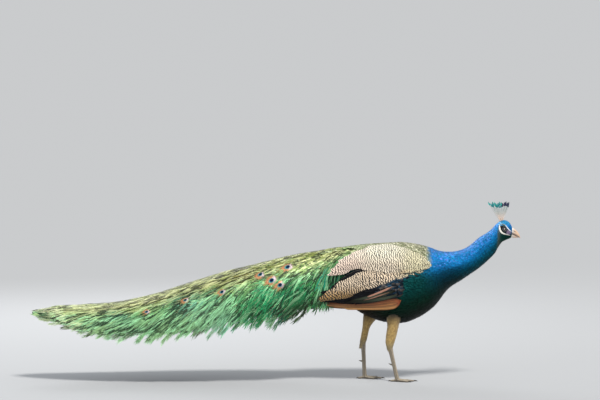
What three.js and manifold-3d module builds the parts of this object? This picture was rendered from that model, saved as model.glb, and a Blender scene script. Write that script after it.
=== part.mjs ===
// A peacock, the male Indian peafowl (Pavo cristatus), life size, walking with its neck stretched
// forwards and its train carried clear of the floor.
//
// Millimetres, +Z up. +X is the way the bird walks, -Y its right side, and Z = 0 the floor under its
// feet. The origin is on the floor, midway between the tip of the bill and the tip of the train.
import * as THREE from "three";
import { mergeVertices } from "three/addons/utils/BufferGeometryUtils.js";
import Module from "manifold-3d";

const wasm = await Module();
wasm.setup();

// ---------------------------------------------------------------- driving dimensions

const GAP = 0.35; // between neighbouring solids
const BODY_GAP = 0.007; // the same between two lengths of the body, as a share of its sections' spacing
const TRAIN_GAP = 0.0016; // and of the train

const LEG_SPREAD = 48; // from the midline to the middle of each leg
const EYE = { x: 894, y: 15.2, z: 594, radius: 6.6 };
const SOCKET_CLEARANCE = 0.4;

const WING_DEPTH = 18; // how far the folded wing's layers reach in towards the body
const WING_SINK = { scapulars: 0, coverts: 3, primaries: 8 }; // each layer lies this far under the outer one
const TRAIN_THICKNESS = 10;
const TRAIN_OPEN_BELOW = 6; // how far the tool that hollows the train passes its lower edges

const TOES = { inner: 46, middle: 66, outer: 50, hind: 25 }; // lengths without the claws
const TOE_TURN = { inner: 33, middle: 2, outer: -30, hind: 172 }; // degrees towards the midline
const CLAW_LENGTH = { inner: 13, middle: 15, outer: 13, hind: 10 };
const NOSTRIL = { x: 937, y: 8, z: 585 };
const SPUR = { length: 20, radius: 4, height: 0.58 }; // height is its place down the shank

const CREST = {
  root: new THREE.Vector3(883, 0, 627),
  leans: [-37, -28, -19, -10, -2, 13, 21, 28, 35], // degrees from upright, in a hind and a front tuft
  short: 48, // lengths of bare shaft
  long: 63,
  splay: 7, // degrees to each side
  shaft: 0.75, // radius
  vane: { length: 15, width: 9, thickness: 2 },
};

// ---------------------------------------------------------------- materials

const paint = (color, roughness = 0.6, metalness = 0) =>
  new THREE.MeshStandardMaterial({ color, roughness, metalness });

const MATERIALS = {
  neckBlue: paint(0x1253b8, 0.45, 0.15),
  bodyGreen: paint(0x12463f, 0.5, 0.1),
  barred: paint(0xcdb796, 0.75),
  rufous: paint(0xc0793f, 0.7),
  trainGreen: paint(0x3f8a4a, 0.55, 0.1),
  tailBrown: paint(0x4d3f32, 0.8),
  thighBuff: paint(0xb39a63, 0.85),
  legGrey: paint(0x8d8372, 0.7),
  claw: paint(0x4a4239, 0.5),
  bill: paint(0xc3ab8d, 0.5),
  eye: paint(0x1d120b, 0.1),
  crest: paint(0x2a7f8a, 0.5),
};

// ---------------------------------------------------------------- forms

// The outline of a cross-section at an angle from its top: how far it is to the side, and its height
// from the bottom point (0) to the top point (1).
const ROUND = (angle) => [Math.sin(angle), (1 + Math.cos(angle)) / 2];
const ARCH = (angle) => [Math.sin(angle), Math.max(Math.cos(angle), 0)];

// A tapering form, as cross-sections strung along its length. Each runs from a top point to a bottom
// point of the side view, [x, z], and reaches halfWidth to each side. The form is asked for the point
// at a place, counted in sections, and an angle round it. A limb's top points are its front ones.
function formOf(sections, outline = ROUND) {
  const last = sections.length - 1;
  const through = (pick) => new THREE.SplineCurve(sections.map(pick));
  const top = through((s) => new THREE.Vector2(...s.top));
  const bottom = through((s) => new THREE.Vector2(...s.bottom));
  const width = through((s, i) => new THREE.Vector2(i, s.halfWidth));
  const run = top.getPoint(1).sub(top.getPoint(0));
  const hand = -Math.sign(run.cross(top.getPoint(0).sub(bottom.getPoint(0)))); // faces stay outwards
  const form = (place, angle, reach, grow) => {
    const t = place / last;
    const high = top.getPoint(t);
    const low = bottom.getPoint(t);
    const outwards = high.clone().sub(low).setLength(grow);
    high.add(outwards);
    low.sub(outwards);
    const [side, height] = outline(angle);
    const middle = low.clone().lerp(high, 0.5);
    const edge = low.clone().lerp(high, height);
    const at = middle.lerp(edge, reach);
    const out = side * reach * (width.getPoint(t).y + grow);
    return new THREE.Vector3(at.x, hand * out, at.y);
  };
  return Object.assign(form, { last });
}

// The closed geometry of a form between two places, as a cylinder bent onto it.
function loft(form, { from = 0, to = form.last, rings = 8, sides = 16, grow = 0 } = {}) {
  const geometry = new THREE.CylinderGeometry(1, 1, 1, sides, rings);
  const position = geometry.getAttribute("position");
  for (let i = 0; i < position.count; i++) {
    const [x, y, z] = [position.getX(i), position.getY(i), position.getZ(i)];
    const place = from + (y + 0.5) * (to - from);
    const point = form(place, Math.atan2(x, z), Math.min(Math.hypot(x, z), 1), grow);
    position.setXYZ(i, point.x, point.y, point.z);
  }
  return geometry;
}

// A geometry as a manifold-3d solid, and back.
function solid(geometry) {
  const bare = new THREE.BufferGeometry().setAttribute("position", geometry.getAttribute("position"));
  if (geometry.index) bare.setIndex(geometry.index);
  const merged = mergeVertices(bare, 1e-3);
  return new wasm.Manifold(
    new wasm.Mesh({
      numProp: 3,
      vertProperties: merged.getAttribute("position").array,
      triVerts: new Uint32Array(merged.index.array),
    }),
  );
}

function geometryOf(manifold) {
  const mesh = manifold.getMesh();
  const geometry = new THREE.BufferGeometry();
  geometry.setAttribute("position", new THREE.BufferAttribute(mesh.vertProperties, 3));
  geometry.setIndex(new THREE.BufferAttribute(mesh.triVerts, 1));
  geometry.computeVertexNormals();
  return geometry;
}

const joined = (solids) => solids.reduce((whole, piece) => whole.add(piece));

// The biggest piece of a solid that a cut may have left in several.
const largest = (manifold) =>
  manifold.decompose().reduce((a, b) => (a.volume() > b.volume() ? a : b));

// A closed outline of the side view, [x, z] points joined smoothly, cut out of the right half of space.
const CUT_REACH = 250;
function sideCut(points, steps = 24) {
  const curve = new THREE.CatmullRomCurve3(
    points.map(([x, z]) => new THREE.Vector3(x, z, 0)),
    true,
  );
  const outline = new THREE.Shape(curve.getPoints(steps).map((p) => new THREE.Vector2(p.x, p.y)));
  const geometry = new THREE.ExtrudeGeometry(outline, { depth: CUT_REACH, bevelEnabled: false });
  return solid(geometry.rotateX(Math.PI / 2)); // the sketch's Y becomes Z, and its depth -Y
}

// ---------------------------------------------------------------- the bird's forms

// Trunk, neck and head, from the root of the tail to the base of the bill.
const BODY = formOf([
  { at: "root of the tail", top: [181, 458], bottom: [194, 380], halfWidth: 34 },
  { at: "rump", top: [251, 494], bottom: [262, 315], halfWidth: 67 },
  { at: "loin", top: [337, 517], bottom: [348, 258], halfWidth: 96 },
  { at: "back", top: [438, 527], bottom: [438, 227], halfWidth: 111 },
  { at: "shoulder", top: [524, 538], bottom: [524, 232], halfWidth: 111 },
  { at: "breast", top: [590, 527], bottom: [613, 283], halfWidth: 93 },
  { at: "base of the neck", top: [645, 509], bottom: [676, 359], halfWidth: 68 },
  { at: "lower neck", top: [699, 507], bottom: [734, 398], halfWidth: 50 },
  { at: "middle of the neck", top: [748, 523], bottom: [797, 442], halfWidth: 40 },
  { at: "upper neck", top: [797, 562], bottom: [837, 477], halfWidth: 33 },
  { at: "nape", top: [822, 577], bottom: [858, 499], halfWidth: 29 },
  { at: "back of the head", top: [842, 592], bottom: [872, 524], halfWidth: 25 },
  { at: "ear", top: [862, 613], bottom: [886, 543], halfWidth: 23 },
  { at: "crown", top: [881, 627], bottom: [900, 551], halfWidth: 21.5 },
  { at: "forehead", top: [900, 629], bottom: [912, 556], halfWidth: 19.5 },
  { at: "brow", top: [916, 619], bottom: [919.5, 559.5], halfWidth: 15 },
  { at: "base of the bill", top: [925.5, 602], bottom: [923.5, 564], halfWidth: 9 },
]);
const BODY_LENGTHS = { trunk: [0, 6], neck_lower: [6, 8.4], neck_upper: [8.4, 11], head: [11, 16] };

// What the folded wings' outer feathers lie in: a little outside the body, and on past the rump.
const WING_ENVELOPE = formOf([
  { at: "under the breast's feathers", top: [636, 512], bottom: [642, 300], halfWidth: 87 },
  { at: "bend of the wing", top: [582, 538], bottom: [582, 238], halfWidth: 111 },
  { at: "shoulder blade", top: [504, 552], bottom: [504, 205], halfWidth: 123 },
  { at: "elbow", top: [426, 550], bottom: [426, 190], halfWidth: 126 },
  { at: "secondaries", top: [329, 543], bottom: [329, 196], halfWidth: 121 },
  { at: "tertials", top: [243, 530], bottom: [243, 216], halfWidth: 111 },
  { at: "past the tips", top: [142, 512], bottom: [142, 232], halfWidth: 98 },
]);

// The train: an arch of long feathers over the tail, open below.
const TRAIN = formOf(
  [
    { at: "lower back", top: [306, 524], bottom: [306, 470], halfWidth: 58 },
    { at: "rump", top: [250, 522], bottom: [250, 372], halfWidth: 76 },
    { at: "between the wing tips", top: [165, 508], bottom: [165, 280], halfWidth: 86 },
    { at: "past the wings", top: [64, 491], bottom: [64, 268], halfWidth: 108 },
    { at: "over the tail", top: [-70, 458], bottom: [-70, 248], halfWidth: 133 },
    { at: "end of the tail", top: [-205, 425], bottom: [-205, 224], halfWidth: 147 },
    { at: "widest", top: [-345, 381], bottom: [-345, 203], halfWidth: 151 },
    { at: "first long feathers' tips", top: [-485, 337], bottom: [-485, 190], halfWidth: 143 },
    { at: "ridge flattens", top: [-620, 308], bottom: [-620, 190], halfWidth: 126 },
    { at: "last third", top: [-755, 297], bottom: [-755, 204], halfWidth: 101 },
    { at: "last eyes", top: [-878, 290], bottom: [-878, 232], halfWidth: 66 },
    { at: "tip", top: [-958, 274], bottom: [-958, 260], halfWidth: 18 },
  ],
  ARCH,
);
const TRAIN_LENGTHS = { train_root: [0, 3.5], train_middle: [3.5, 7.5], train_tip: [7.5, 11] };
const TRAIN_RINGS = 7; // in each length
const TRAIN_SIDES = 20;

// The tail proper, twenty stiff feathers folded into a narrow fan under the train.
const TAIL = formOf([
  { at: "root", top: [178, 442], bottom: [176, 420], halfWidth: 26 },
  { at: "quills", top: [110, 434], bottom: [108, 418], halfWidth: 44 },
  { at: "middle", top: [0, 404], bottom: [-3, 394], halfWidth: 62 },
  { at: "fan", top: [-120, 369], bottom: [-123, 361], halfWidth: 76 },
  { at: "outer tips", top: [-190, 347], bottom: [-192, 341], halfWidth: 70 },
  { at: "middle tips", top: [-218, 338], bottom: [-219, 334], halfWidth: 40 },
]);

// ---------------------------------------------------------------- body, train and tail

const trunkTool = solid(loft(BODY, { to: 6, rings: 13, sides: 24, grow: GAP }));
const trainTool = joined(
  Object.values(TRAIN_LENGTHS).map(([from, to]) =>
    solid(loft(TRAIN, { from, to, rings: TRAIN_RINGS, sides: TRAIN_SIDES, grow: 2 * GAP })),
  ),
);

function bodyLength(name, rings, sides) {
  const [from, to] = BODY_LENGTHS[name];
  return solid(loft(BODY, { from: from + BODY_GAP, to: to - BODY_GAP, rings, sides }));
}

function eyeBall(side, clearance = 0) {
  const ball = new THREE.SphereGeometry(EYE.radius + clearance, 12, 8);
  return solid(ball.rotateX(Math.PI / 2).translate(EYE.x, side * EYE.y, EYE.z));
}

function headSolid() {
  const sockets = [-1, 1].map((side) => eyeBall(side, SOCKET_CLEARANCE));
  return bodyLength("head", 10, 16).subtract(joined(sockets));
}

function trainLength(name) {
  const [from, to] = TRAIN_LENGTHS[name];
  const start = from + TRAIN_GAP;
  const end = to - TRAIN_GAP;
  const size = { rings: TRAIN_RINGS, sides: TRAIN_SIDES };
  const outside = solid(loft(TRAIN, { from: start, to: end, ...size }));
  const last = TRAIN.last - 0.4; // the tip itself stays solid
  const hollow = loft(TRAIN, {
    from: Math.max(from - TRAIN_GAP, 0),
    to: Math.min(to + TRAIN_GAP, last),
    ...size,
    grow: -TRAIN_THICKNESS,
  });
  // The tool is narrower than the outside all round, so its floor is let down past the train's edges.
  const position = hollow.getAttribute("position");
  for (let i = 0; i < position.count; i++) {
    const place = position.getZ(i);
    const floor = floorUnder(position.getX(i)) + TRAIN_THICKNESS + 1;
    if (place < floor) position.setZ(i, place - TRAIN_THICKNESS - TRAIN_OPEN_BELOW);
  }
  return largest(outside.subtract(solid(hollow)).subtract(trunkTool));
}

// The height of the train's lower edges at x.
function floorUnder(x) {
  let [low, high] = [0, TRAIN.last];
  for (let step = 0; step < 20; step++) {
    const middle = (low + high) / 2;
    if (TRAIN(middle, 0, 1, 0).x > x) low = middle;
    else high = middle;
  }
  return TRAIN(low, Math.PI, 1, 0).z;
}

// ---------------------------------------------------------------- folded wings

// Side-view outlines of the right wing's three layers.
const SCAPULARS = [
  [605, 458], [578, 494], [508, 528], [448, 541], [383, 537], [311, 515], [239, 468], [201, 421],
  [216, 412], [270, 427], [327, 443], [400, 442], [480, 434], [560, 436],
];
const WING_COVERTS = [
  [598, 434], [545, 427], [470, 429], [400, 437], [327, 437], [257, 394], [204, 359], [170, 330],
  [177, 316], [230, 310], [300, 309], [370, 311], [430, 327], [487, 341], [498, 378], [506, 410],
  [563, 421],
];
const PRIMARIES = [
  [489, 322], [463, 331], [425, 319], [370, 305], [270, 303], [171, 302], [168, 294], [204, 286],
  [274, 281], [362, 281], [420, 277], [465, 283], [487, 300],
];

function wingLayer(outline, sink, rings) {
  const size = { rings, sides: 24 };
  const outside = solid(loft(WING_ENVELOPE, { ...size, grow: -sink }));
  const inside = solid(loft(WING_ENVELOPE, { ...size, grow: -sink - WING_DEPTH }));
  const layer = sideCut(outline).intersect(outside).subtract(inside);
  return largest(layer.subtract(trunkTool).subtract(trainTool));
}

// ---------------------------------------------------------------- legs

// Front and back points of each leg, down from the hip. The right foot is set forwards.
const THIGHS = {
  right: [
    { at: "hip", top: [505, 330], bottom: [400, 330], halfWidth: 33 },
    { at: "belly", top: [493, 262], bottom: [428, 256], halfWidth: 29 },
    { at: "drumstick", top: [482, 222], bottom: [435, 218], halfWidth: 24 },
    { at: "calf", top: [473, 186], bottom: [431, 182], halfWidth: 19 },
    { at: "above the hock", top: [464, 157], bottom: [430, 153], halfWidth: 14 },
    { at: "hock", top: [458, 139], bottom: [434, 135], halfWidth: 10 },
  ],
  left: [
    { at: "hip", top: [462, 330], bottom: [352, 330], halfWidth: 33 },
    { at: "belly", top: [430, 272], bottom: [345, 262], halfWidth: 29 },
    { at: "drumstick", top: [398, 238], bottom: [343, 230], halfWidth: 25 },
    { at: "calf", top: [371, 203], bottom: [341, 198], halfWidth: 18 },
    { at: "above the hock", top: [360, 162], bottom: [334, 158], halfWidth: 13 },
    { at: "hock", top: [356, 148], bottom: [332, 144], halfWidth: 10 },
  ],
};
const SHANKS = {
  right: { hock: [446, 136], ankle: [474, 14] },
  left: { hock: [344, 144], ankle: [350, 14] },
};
// Half the depth, seen from the side, and the half width of a shank down its length.
const SHANK_SHAPE = [
  { share: 0, depth: 10.5, halfWidth: 8.5 },
  { share: 0.1, depth: 9.8, halfWidth: 7.8 },
  { share: 0.25, depth: 8.2, halfWidth: 6.2 },
  { share: 0.7, depth: 7.5, halfWidth: 5.7 },
  { share: 0.92, depth: 8.3, halfWidth: 7 },
  { share: 1.03, depth: 8.5, halfWidth: 7.5 },
];

function shankForm({ hock, ankle }) {
  const start = new THREE.Vector2(...hock);
  const run = new THREE.Vector2(...ankle).sub(start);
  const forwards = new THREE.Vector2(-run.y, run.x).normalize();
  return formOf(
    SHANK_SHAPE.map(({ share, depth, halfWidth }) => {
      const middle = start.clone().addScaledVector(run, share);
      const front = middle.clone().addScaledVector(forwards, depth);
      const back = middle.clone().addScaledVector(forwards, -depth);
      return { top: front.toArray(), bottom: back.toArray(), halfWidth };
    }),
  );
}

// The cock's spur, a horn cone on the back and inner side of the shank. towards is +1 on the right leg.
function spur({ hock, ankle }, towards) {
  const cone = new THREE.ConeGeometry(SPUR.radius, SPUR.length, 6);
  cone.translate(0, SPUR.length / 2, 0);
  const point = new THREE.Vector3(-1, 0.55 * towards, 0.25).normalize();
  cone.applyQuaternion(new THREE.Quaternion().setFromUnitVectors(new THREE.Vector3(0, 1, 0), point));
  const x = THREE.MathUtils.lerp(hock[0], ankle[0], SPUR.height);
  const z = THREE.MathUtils.lerp(hock[1], ankle[1], SPUR.height);
  return solid(cone.translate(x - 2, 0, z));
}

// A toe lying along +X from the ankle, its sole just under the floor, where it is cut flat.
function toeForm(length) {
  return formOf([
    { at: "ankle", top: [-6, 15], bottom: [-6, 3], halfWidth: 6 },
    { at: "ball", top: [8, 14], bottom: [4, -1.2], halfWidth: 6.6 },
    { at: "first joint", top: [length * 0.4, 10], bottom: [length * 0.4, -0.6], halfWidth: 4.8 },
    { at: "last joint", top: [length * 0.72, 8.6], bottom: [length * 0.72, -0.8], halfWidth: 4.6 },
    { at: "base of the claw", top: [length, 6.5], bottom: [length, 0.4], halfWidth: 2.9 },
  ]);
}

function clawForm(length, claw) {
  const start = length + GAP;
  return formOf([
    { at: "base", top: [start, 6.6], bottom: [start, 1.2], halfWidth: 2.4 },
    { at: "middle", top: [start + claw * 0.55, 5.9], bottom: [start + claw * 0.5, 2], halfWidth: 1.6 },
    { at: "point", top: [start + claw, 1.6], bottom: [start + claw - 1, 0.9], halfWidth: 0.45 },
  ]);
}

// A form of the foot turned to its toe's direction. towards is +1 on the right foot, whose inner toe
// points to +Y.
function footPiece(form, toe, towards, size) {
  const geometry = loft(form, size);
  return geometry.rotateZ(THREE.MathUtils.degToRad(TOE_TURN[toe] * towards));
}

const FLOOR_BLOCK = solid(new THREE.BoxGeometry(400, 400, 40).translate(0, 0, -20));

function footSolid(towards) {
  const toes = Object.keys(TOES).map((toe) =>
    solid(footPiece(toeForm(TOES[toe]), toe, towards, { rings: 4, sides: 7 })),
  );
  return joined(toes).subtract(FLOOR_BLOCK);
}

// ---------------------------------------------------------------- head

const BILL_UPPER = formOf([
  { at: "inside the face", top: [917, 600], bottom: [914, 578], halfWidth: 9.5 },
  { at: "cere", top: [927, 599.5], bottom: [926, 575.5], halfWidth: 8.6 },
  { at: "nostril", top: [937, 593.5], bottom: [936, 571], halfWidth: 7 },
  { at: "culmen", top: [947, 584], bottom: [945, 566.5], halfWidth: 5 },
  { at: "hook", top: [954.5, 572], bottom: [953, 561.5], halfWidth: 3 },
  { at: "tip", top: [958, 560.5], bottom: [956.6, 558], halfWidth: 1 },
]);
const BILL_LOWER = formOf([
  { at: "inside the face", top: [913, 576], bottom: [912, 563], halfWidth: 8 },
  { at: "gape", top: [925.5, 574.6], bottom: [924, 561.5], halfWidth: 7.4 },
  { at: "middle", top: [938, 569.4], bottom: [936, 557.5], halfWidth: 5.4 },
  { at: "tip", top: [951, 561.2], bottom: [949.5, 554.5], halfWidth: 2 },
]);

// One crest feather: a bare shaft with a small fan-shaped vane at its end.
function crestFeather(index) {
  const share = index / (CREST.leans.length - 1);
  const shaft = THREE.MathUtils.lerp(CREST.short, CREST.long, Math.sin(Math.PI * share));
  const { length, width, thickness } = CREST.vane;
  const stem = new THREE.CylinderGeometry(CREST.shaft, CREST.shaft * 1.4, shaft + 4, 4);
  const vane = new THREE.SphereGeometry(0.5, 5, 3);
  vane.scale(width, length, thickness).translate(0, shaft + length * 0.42, 0);
  const feather = solid(stem.translate(0, shaft / 2, 0)).add(solid(vane));
  const lean = THREE.MathUtils.degToRad(CREST.leans[index]);
  const splay = CREST.splay * Math.sin(index * 2.4); // spread in no plain order
  const turn = new THREE.Object3D();
  turn.rotation.set(Math.PI / 2, lean, 0, "YXZ");
  turn.rotateX(THREE.MathUtils.degToRad(splay));
  turn.position.copy(CREST.root);
  turn.updateMatrix();
  return solid(geometryOf(feather).applyMatrix4(turn.matrix));
}

function crestSolid(headTool) {
  const base = new THREE.SphereGeometry(1, 8, 6).scale(9, 5, 5);
  base.translate(CREST.root.x, CREST.root.y, CREST.root.z);
  const feathers = CREST.leans.map((_, index) => crestFeather(index));
  return largest(joined([solid(base), ...feathers]).subtract(headTool));
}

// ---------------------------------------------------------------- assembly

const bird = new THREE.Group();

function add(name, geometry, material, parent = bird) {
  const mesh = new THREE.Mesh(geometry, material);
  mesh.name = name;
  parent.add(mesh);
  return mesh;
}

function addBody() {
  add("trunk", geometryOf(bodyLength("trunk", 13, 24)), MATERIALS.bodyGreen);
  add("neck_lower", geometryOf(bodyLength("neck_lower", 5, 20)), MATERIALS.neckBlue);
  add("neck_upper", geometryOf(bodyLength("neck_upper", 6, 20)), MATERIALS.neckBlue);
  add("head", geometryOf(headSolid()), MATERIALS.neckBlue);
}

function addFace() {
  const headTool = solid(loft(BODY, { from: 11, rings: 10, sides: 16, grow: GAP }));
  const upper = solid(loft(BILL_UPPER, { rings: 7, sides: 10 })).subtract(headTool);
  const lower = solid(loft(BILL_LOWER, { rings: 4, sides: 10 })).subtract(headTool);
  const mouthTool = solid(loft(BILL_UPPER, { rings: 7, sides: 10, grow: GAP }));
  const nostrils = [-1, 1].map((side) => {
    const slot = new THREE.SphereGeometry(1, 6, 4).scale(4.5, 2.6, 1.5).rotateY(0.6);
    return solid(slot.translate(NOSTRIL.x, side * NOSTRIL.y, NOSTRIL.z));
  });
  add("bill_upper", geometryOf(largest(upper.subtract(joined(nostrils)))), MATERIALS.bill);
  add("bill_lower", geometryOf(largest(lower.subtract(mouthTool))), MATERIALS.bill);
  add("crest", geometryOf(crestSolid(headTool)), MATERIALS.crest);
  for (const [name, side] of [["right", -1], ["left", 1]]) {
    add(`eye_${name}`, geometryOf(eyeBall(side)), MATERIALS.eye);
  }
}

function addTrain() {
  for (const name of Object.keys(TRAIN_LENGTHS)) {
    add(name, geometryOf(trainLength(name)), MATERIALS.trainGreen);
  }
  add("tail", geometryOf(solid(loft(TAIL, { rings: 7, sides: 10 }))), MATERIALS.tailBrown);
}

// Each layer is made for the right wing, and the left one is its mirror image.
function addWings() {
  const layers = [
    ["scapulars", SCAPULARS, WING_SINK.scapulars, MATERIALS.barred],
    ["wing_coverts", WING_COVERTS, WING_SINK.coverts, MATERIALS.barred],
    ["primaries", PRIMARIES, WING_SINK.primaries, MATERIALS.rufous],
  ];
  for (const [name, outline, sink, material] of layers) {
    const geometry = geometryOf(wingLayer(outline, sink, 9));
    add(`${name}_right`, geometry, material);
    add(`${name}_left`, geometry, material).scale.y = -1;
  }
}

function addLeg(name, towards) {
  const leg = new THREE.Group();
  leg.position.y = -LEG_SPREAD * towards;
  bird.add(leg);
  const trunk = trunkTool.translate([0, LEG_SPREAD * towards, 0]);
  const thigh = solid(loft(formOf(THIGHS[name]), { rings: 7, sides: 12 })).subtract(trunk);
  add(`thigh_${name}`, geometryOf(largest(thigh)), MATERIALS.thighBuff, leg);

  const foot = new THREE.Group();
  foot.position.x = SHANKS[name].ankle[0];
  leg.add(foot);
  const footMade = footSolid(towards);
  add(`foot_${name}`, geometryOf(footMade), MATERIALS.legGrey, foot);
  for (const toe of Object.keys(TOES)) {
    const claw = footPiece(clawForm(TOES[toe], CLAW_LENGTH[toe]), toe, towards, { rings: 3, sides: 6 });
    add(`claw_${toe}_${name}`, geometryOf(solid(claw)), MATERIALS.claw, foot);
  }

  const thighTool = solid(loft(formOf(THIGHS[name]), { rings: 7, sides: 12, grow: GAP }));
  const shank = solid(loft(shankForm(SHANKS[name]), { rings: 6, sides: 8 }))
    .add(spur(SHANKS[name], towards))
    .subtract(thighTool)
    .subtract(footTool(towards, foot.position.x));
  add(`shank_${name}`, geometryOf(largest(shank)), MATERIALS.legGrey, leg);
}

// The foot a little enlarged, to cut the shank that stands on it.
function footTool(towards, x) {
  const toes = Object.keys(TOES).map((toe) =>
    solid(footPiece(toeForm(TOES[toe]), toe, towards, { rings: 4, sides: 7, grow: GAP })),
  );
  return joined(toes).translate([x, 0, 0]);
}

addBody();
addFace();
addTrain();
addWings();
addLeg("right", 1);
addLeg("left", -1);

export default bird;
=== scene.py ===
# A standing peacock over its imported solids: one skin, feathers of solid mesh, bill, eyes and legs.
import math

import bpy
import numpy as np
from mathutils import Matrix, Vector
from mathutils.kdtree import KDTree


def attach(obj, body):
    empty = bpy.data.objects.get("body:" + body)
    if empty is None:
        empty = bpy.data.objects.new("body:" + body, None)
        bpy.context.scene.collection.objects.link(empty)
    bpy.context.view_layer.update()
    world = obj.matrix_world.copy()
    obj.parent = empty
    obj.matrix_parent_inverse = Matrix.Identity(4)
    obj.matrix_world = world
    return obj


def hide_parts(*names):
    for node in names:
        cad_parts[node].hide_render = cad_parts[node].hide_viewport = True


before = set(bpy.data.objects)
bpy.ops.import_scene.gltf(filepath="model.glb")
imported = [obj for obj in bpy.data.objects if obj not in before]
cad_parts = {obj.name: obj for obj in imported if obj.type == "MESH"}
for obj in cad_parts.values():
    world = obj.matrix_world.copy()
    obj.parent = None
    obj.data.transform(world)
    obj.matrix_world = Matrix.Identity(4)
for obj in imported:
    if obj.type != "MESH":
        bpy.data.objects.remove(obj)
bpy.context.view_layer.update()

RNG = np.random.default_rng(11)
MM = 0.001
QUARTER, TURN = math.pi / 2, 2 * math.pi
SIDES = {"right": -1, "left": 1}


# ---------------------------------------------------------------- numbers and colours

def tone(code):
    """A colour such as "1c64d8" as linear red, green and blue. Anything but a code stays as it is."""
    if not isinstance(code, str):
        return code
    value = np.array([int(code[i:i + 2], 16) for i in (0, 2, 4)]) / 255
    return np.where(value <= 0.04045, value / 12.92, ((value + 0.055) / 1.055) ** 2.4)


def mix(a, b, share):
    share = np.asarray(share, float)[..., None]
    return tone(a) * (1 - share) + tone(b) * share


def layered(tint, *layers):
    """A tint with further colours laid over it in turn, each with its share."""
    for colour, share in layers:
        tint = mix(tint, colour, share)
    return tint


def smooth(low, high, value):
    t = np.clip((np.asarray(value, float) - low) / (high - low), 0, 1)
    return t * t * (3 - 2 * t)


def unit(vectors):
    return vectors / np.maximum(np.linalg.norm(vectors, axis=-1, keepdims=True), 1e-12)


def dot(a, b):
    return np.sum(a * b, axis=-1)


def upness(angle):
    """1 at the top of a form, 0 at its bottom."""
    return (1 + np.cos(angle)) / 2


def ring(sides, start=0.0):
    return np.linspace(start, start + TURN, sides, endpoint=False)


SKY, AZURE, ROYAL, COBALT = map(tone, ("5296de", "2084ce", "0468a6", "035c88"))
TEAL, SEA, BOTTLE, INK = map(tone, ("0b5766", "04403f", "062a1e", "050f0a"))
BRONZE, GOLD_GREEN, LIME = map(tone, ("98a266", "8f9a50", "bcc984"))
EMERALD, LEAF, TURQUOISE = map(tone, ("259258", "5fa252", "178b8e"))
CREAM, BUFF, UMBER, BAR, WHITE = map(tone, ("e6d8bf", "b99e72", "3a2c1e", "17110c", "e9e6dc"))
PALE_SCALE, DARK_SCALE = map(tone, ("ecebcc", "66733e"))


# ---------------------------------------------------------------- forms

def spline(values, at):
    """Uniform Catmull-Rom curve through the rows of values, and straight on past its ends."""
    values, at = np.asarray(values, float), np.asarray(at, float)
    n = len(values)
    inside = np.clip(at, 0, n - 1)
    i = np.minimum(inside.astype(int), n - 2)
    t = (inside - i)[..., None]
    p0, p1 = values[np.maximum(i - 1, 0)], values[i]
    p2, p3 = values[i + 1], values[np.minimum(i + 2, n - 1)]
    v0, v1 = (p2 - p0) / 2, (p3 - p1) / 2
    point = ((2 * p1 - 2 * p2 + v0 + v1) * t + (-3 * p1 + 3 * p2 - 2 * v0 - v1)) * t * t + v0 * t + p1
    past = (at - inside)[..., None]
    return point + past * np.where(past < 0, values[1] - values[0], values[-1] - values[-2])


def spline_of(rows, count):
    """Count points spread over the curve through rows, which are in millimetres."""
    return spline(np.array(rows, float) * MM, np.linspace(0, len(rows) - 1, count))


class Form:
    """A tapering form, the same as the solid's. Each section is a top point, a bottom point (x and z of
    the side view) and a half width, in millimetres. A point on the form is asked for by its place,
    counted in sections, and its angle from the top, positive on the bird's right. An arch goes straight
    down past 90 degrees. Feathers on it point tailwards, which is up or down the sections."""

    def __init__(self, sections, arch=False, tailwards=1, y=0.0):
        self.table = np.array(sections, float) * MM
        self.last = len(sections) - 1
        self.arch, self.tailwards, self.y = arch, tailwards, y * MM

    def at(self, place, angle, grow=0.0):
        place, angle, grow = np.broadcast_arrays(*(np.asarray(v, float) for v in (place, angle, grow)))
        row = spline(self.table, place)
        high, low, half = row[..., 0:2], row[..., 2:4], row[..., 4]
        out = unit(high - low) * grow[..., None]
        high, low = high + out, low - out
        side, height = np.sin(angle), upness(angle)
        if self.arch:
            below = np.abs(angle) - QUARTER
            height = np.where(below < 0, np.cos(angle), -below)
            side = np.where(below < 0, side, np.sign(angle))
        edge = low + (high - low) * height[..., None]
        return np.stack([edge[..., 0], self.y - side * (half + grow), edge[..., 1]], -1)

    def axes(self, place, angle):
        """Steps along the form and round it, for one unit of place and of angle, and the normal."""
        e = 2e-3
        along = (self.at(place + e, angle) - self.at(place - e, angle)) / (2 * e)
        about = (self.at(place, angle + e) - self.at(place, angle - e)) / (2 * e)
        out = self.at(place, angle, 1e-3) - self.at(place, angle, -1e-3)
        normal = unit(np.cross(along, about))
        return along, about, normal * np.sign(dot(normal, out))[..., None]

    def rows(self, start, end, spacing, angles=(-180, 180), step=0.8):
        """Staggered places and angles over the form, in rows from start to end. Spacing is in metres,
        or a function of place, and step is the rows' pitch as a share of it."""
        gap = spacing if callable(spacing) else (lambda place: spacing)
        sweep = np.radians(np.linspace(angles[0], angles[1], 121))
        places, turns, place, odd = [], [], start, 0
        way = 1 if end > start else -1
        while (end - place) * way > 0:
            hoop = self.at(place, sweep)
            arc = np.concatenate([[0], np.cumsum(np.linalg.norm(np.diff(hoop, axis=0), axis=1))])
            count = max(int(arc[-1] / gap(place)), 3)
            at = (np.arange(count) + 0.25 + 0.5 * odd + RNG.uniform(-0.22, 0.22, count)) / count
            turns.append(np.interp(at * arc[-1], arc, sweep))
            pitch = np.linalg.norm(self.at(place + 0.01, sweep) - hoop, axis=1).mean() / 0.01
            advance = gap(place) * step / pitch
            places.append(np.full(count, place) + RNG.uniform(-0.3, 0.3, count) * advance)
            place += way * advance
            odd = 1 - odd
        return np.concatenate(places), np.concatenate(turns)


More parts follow.
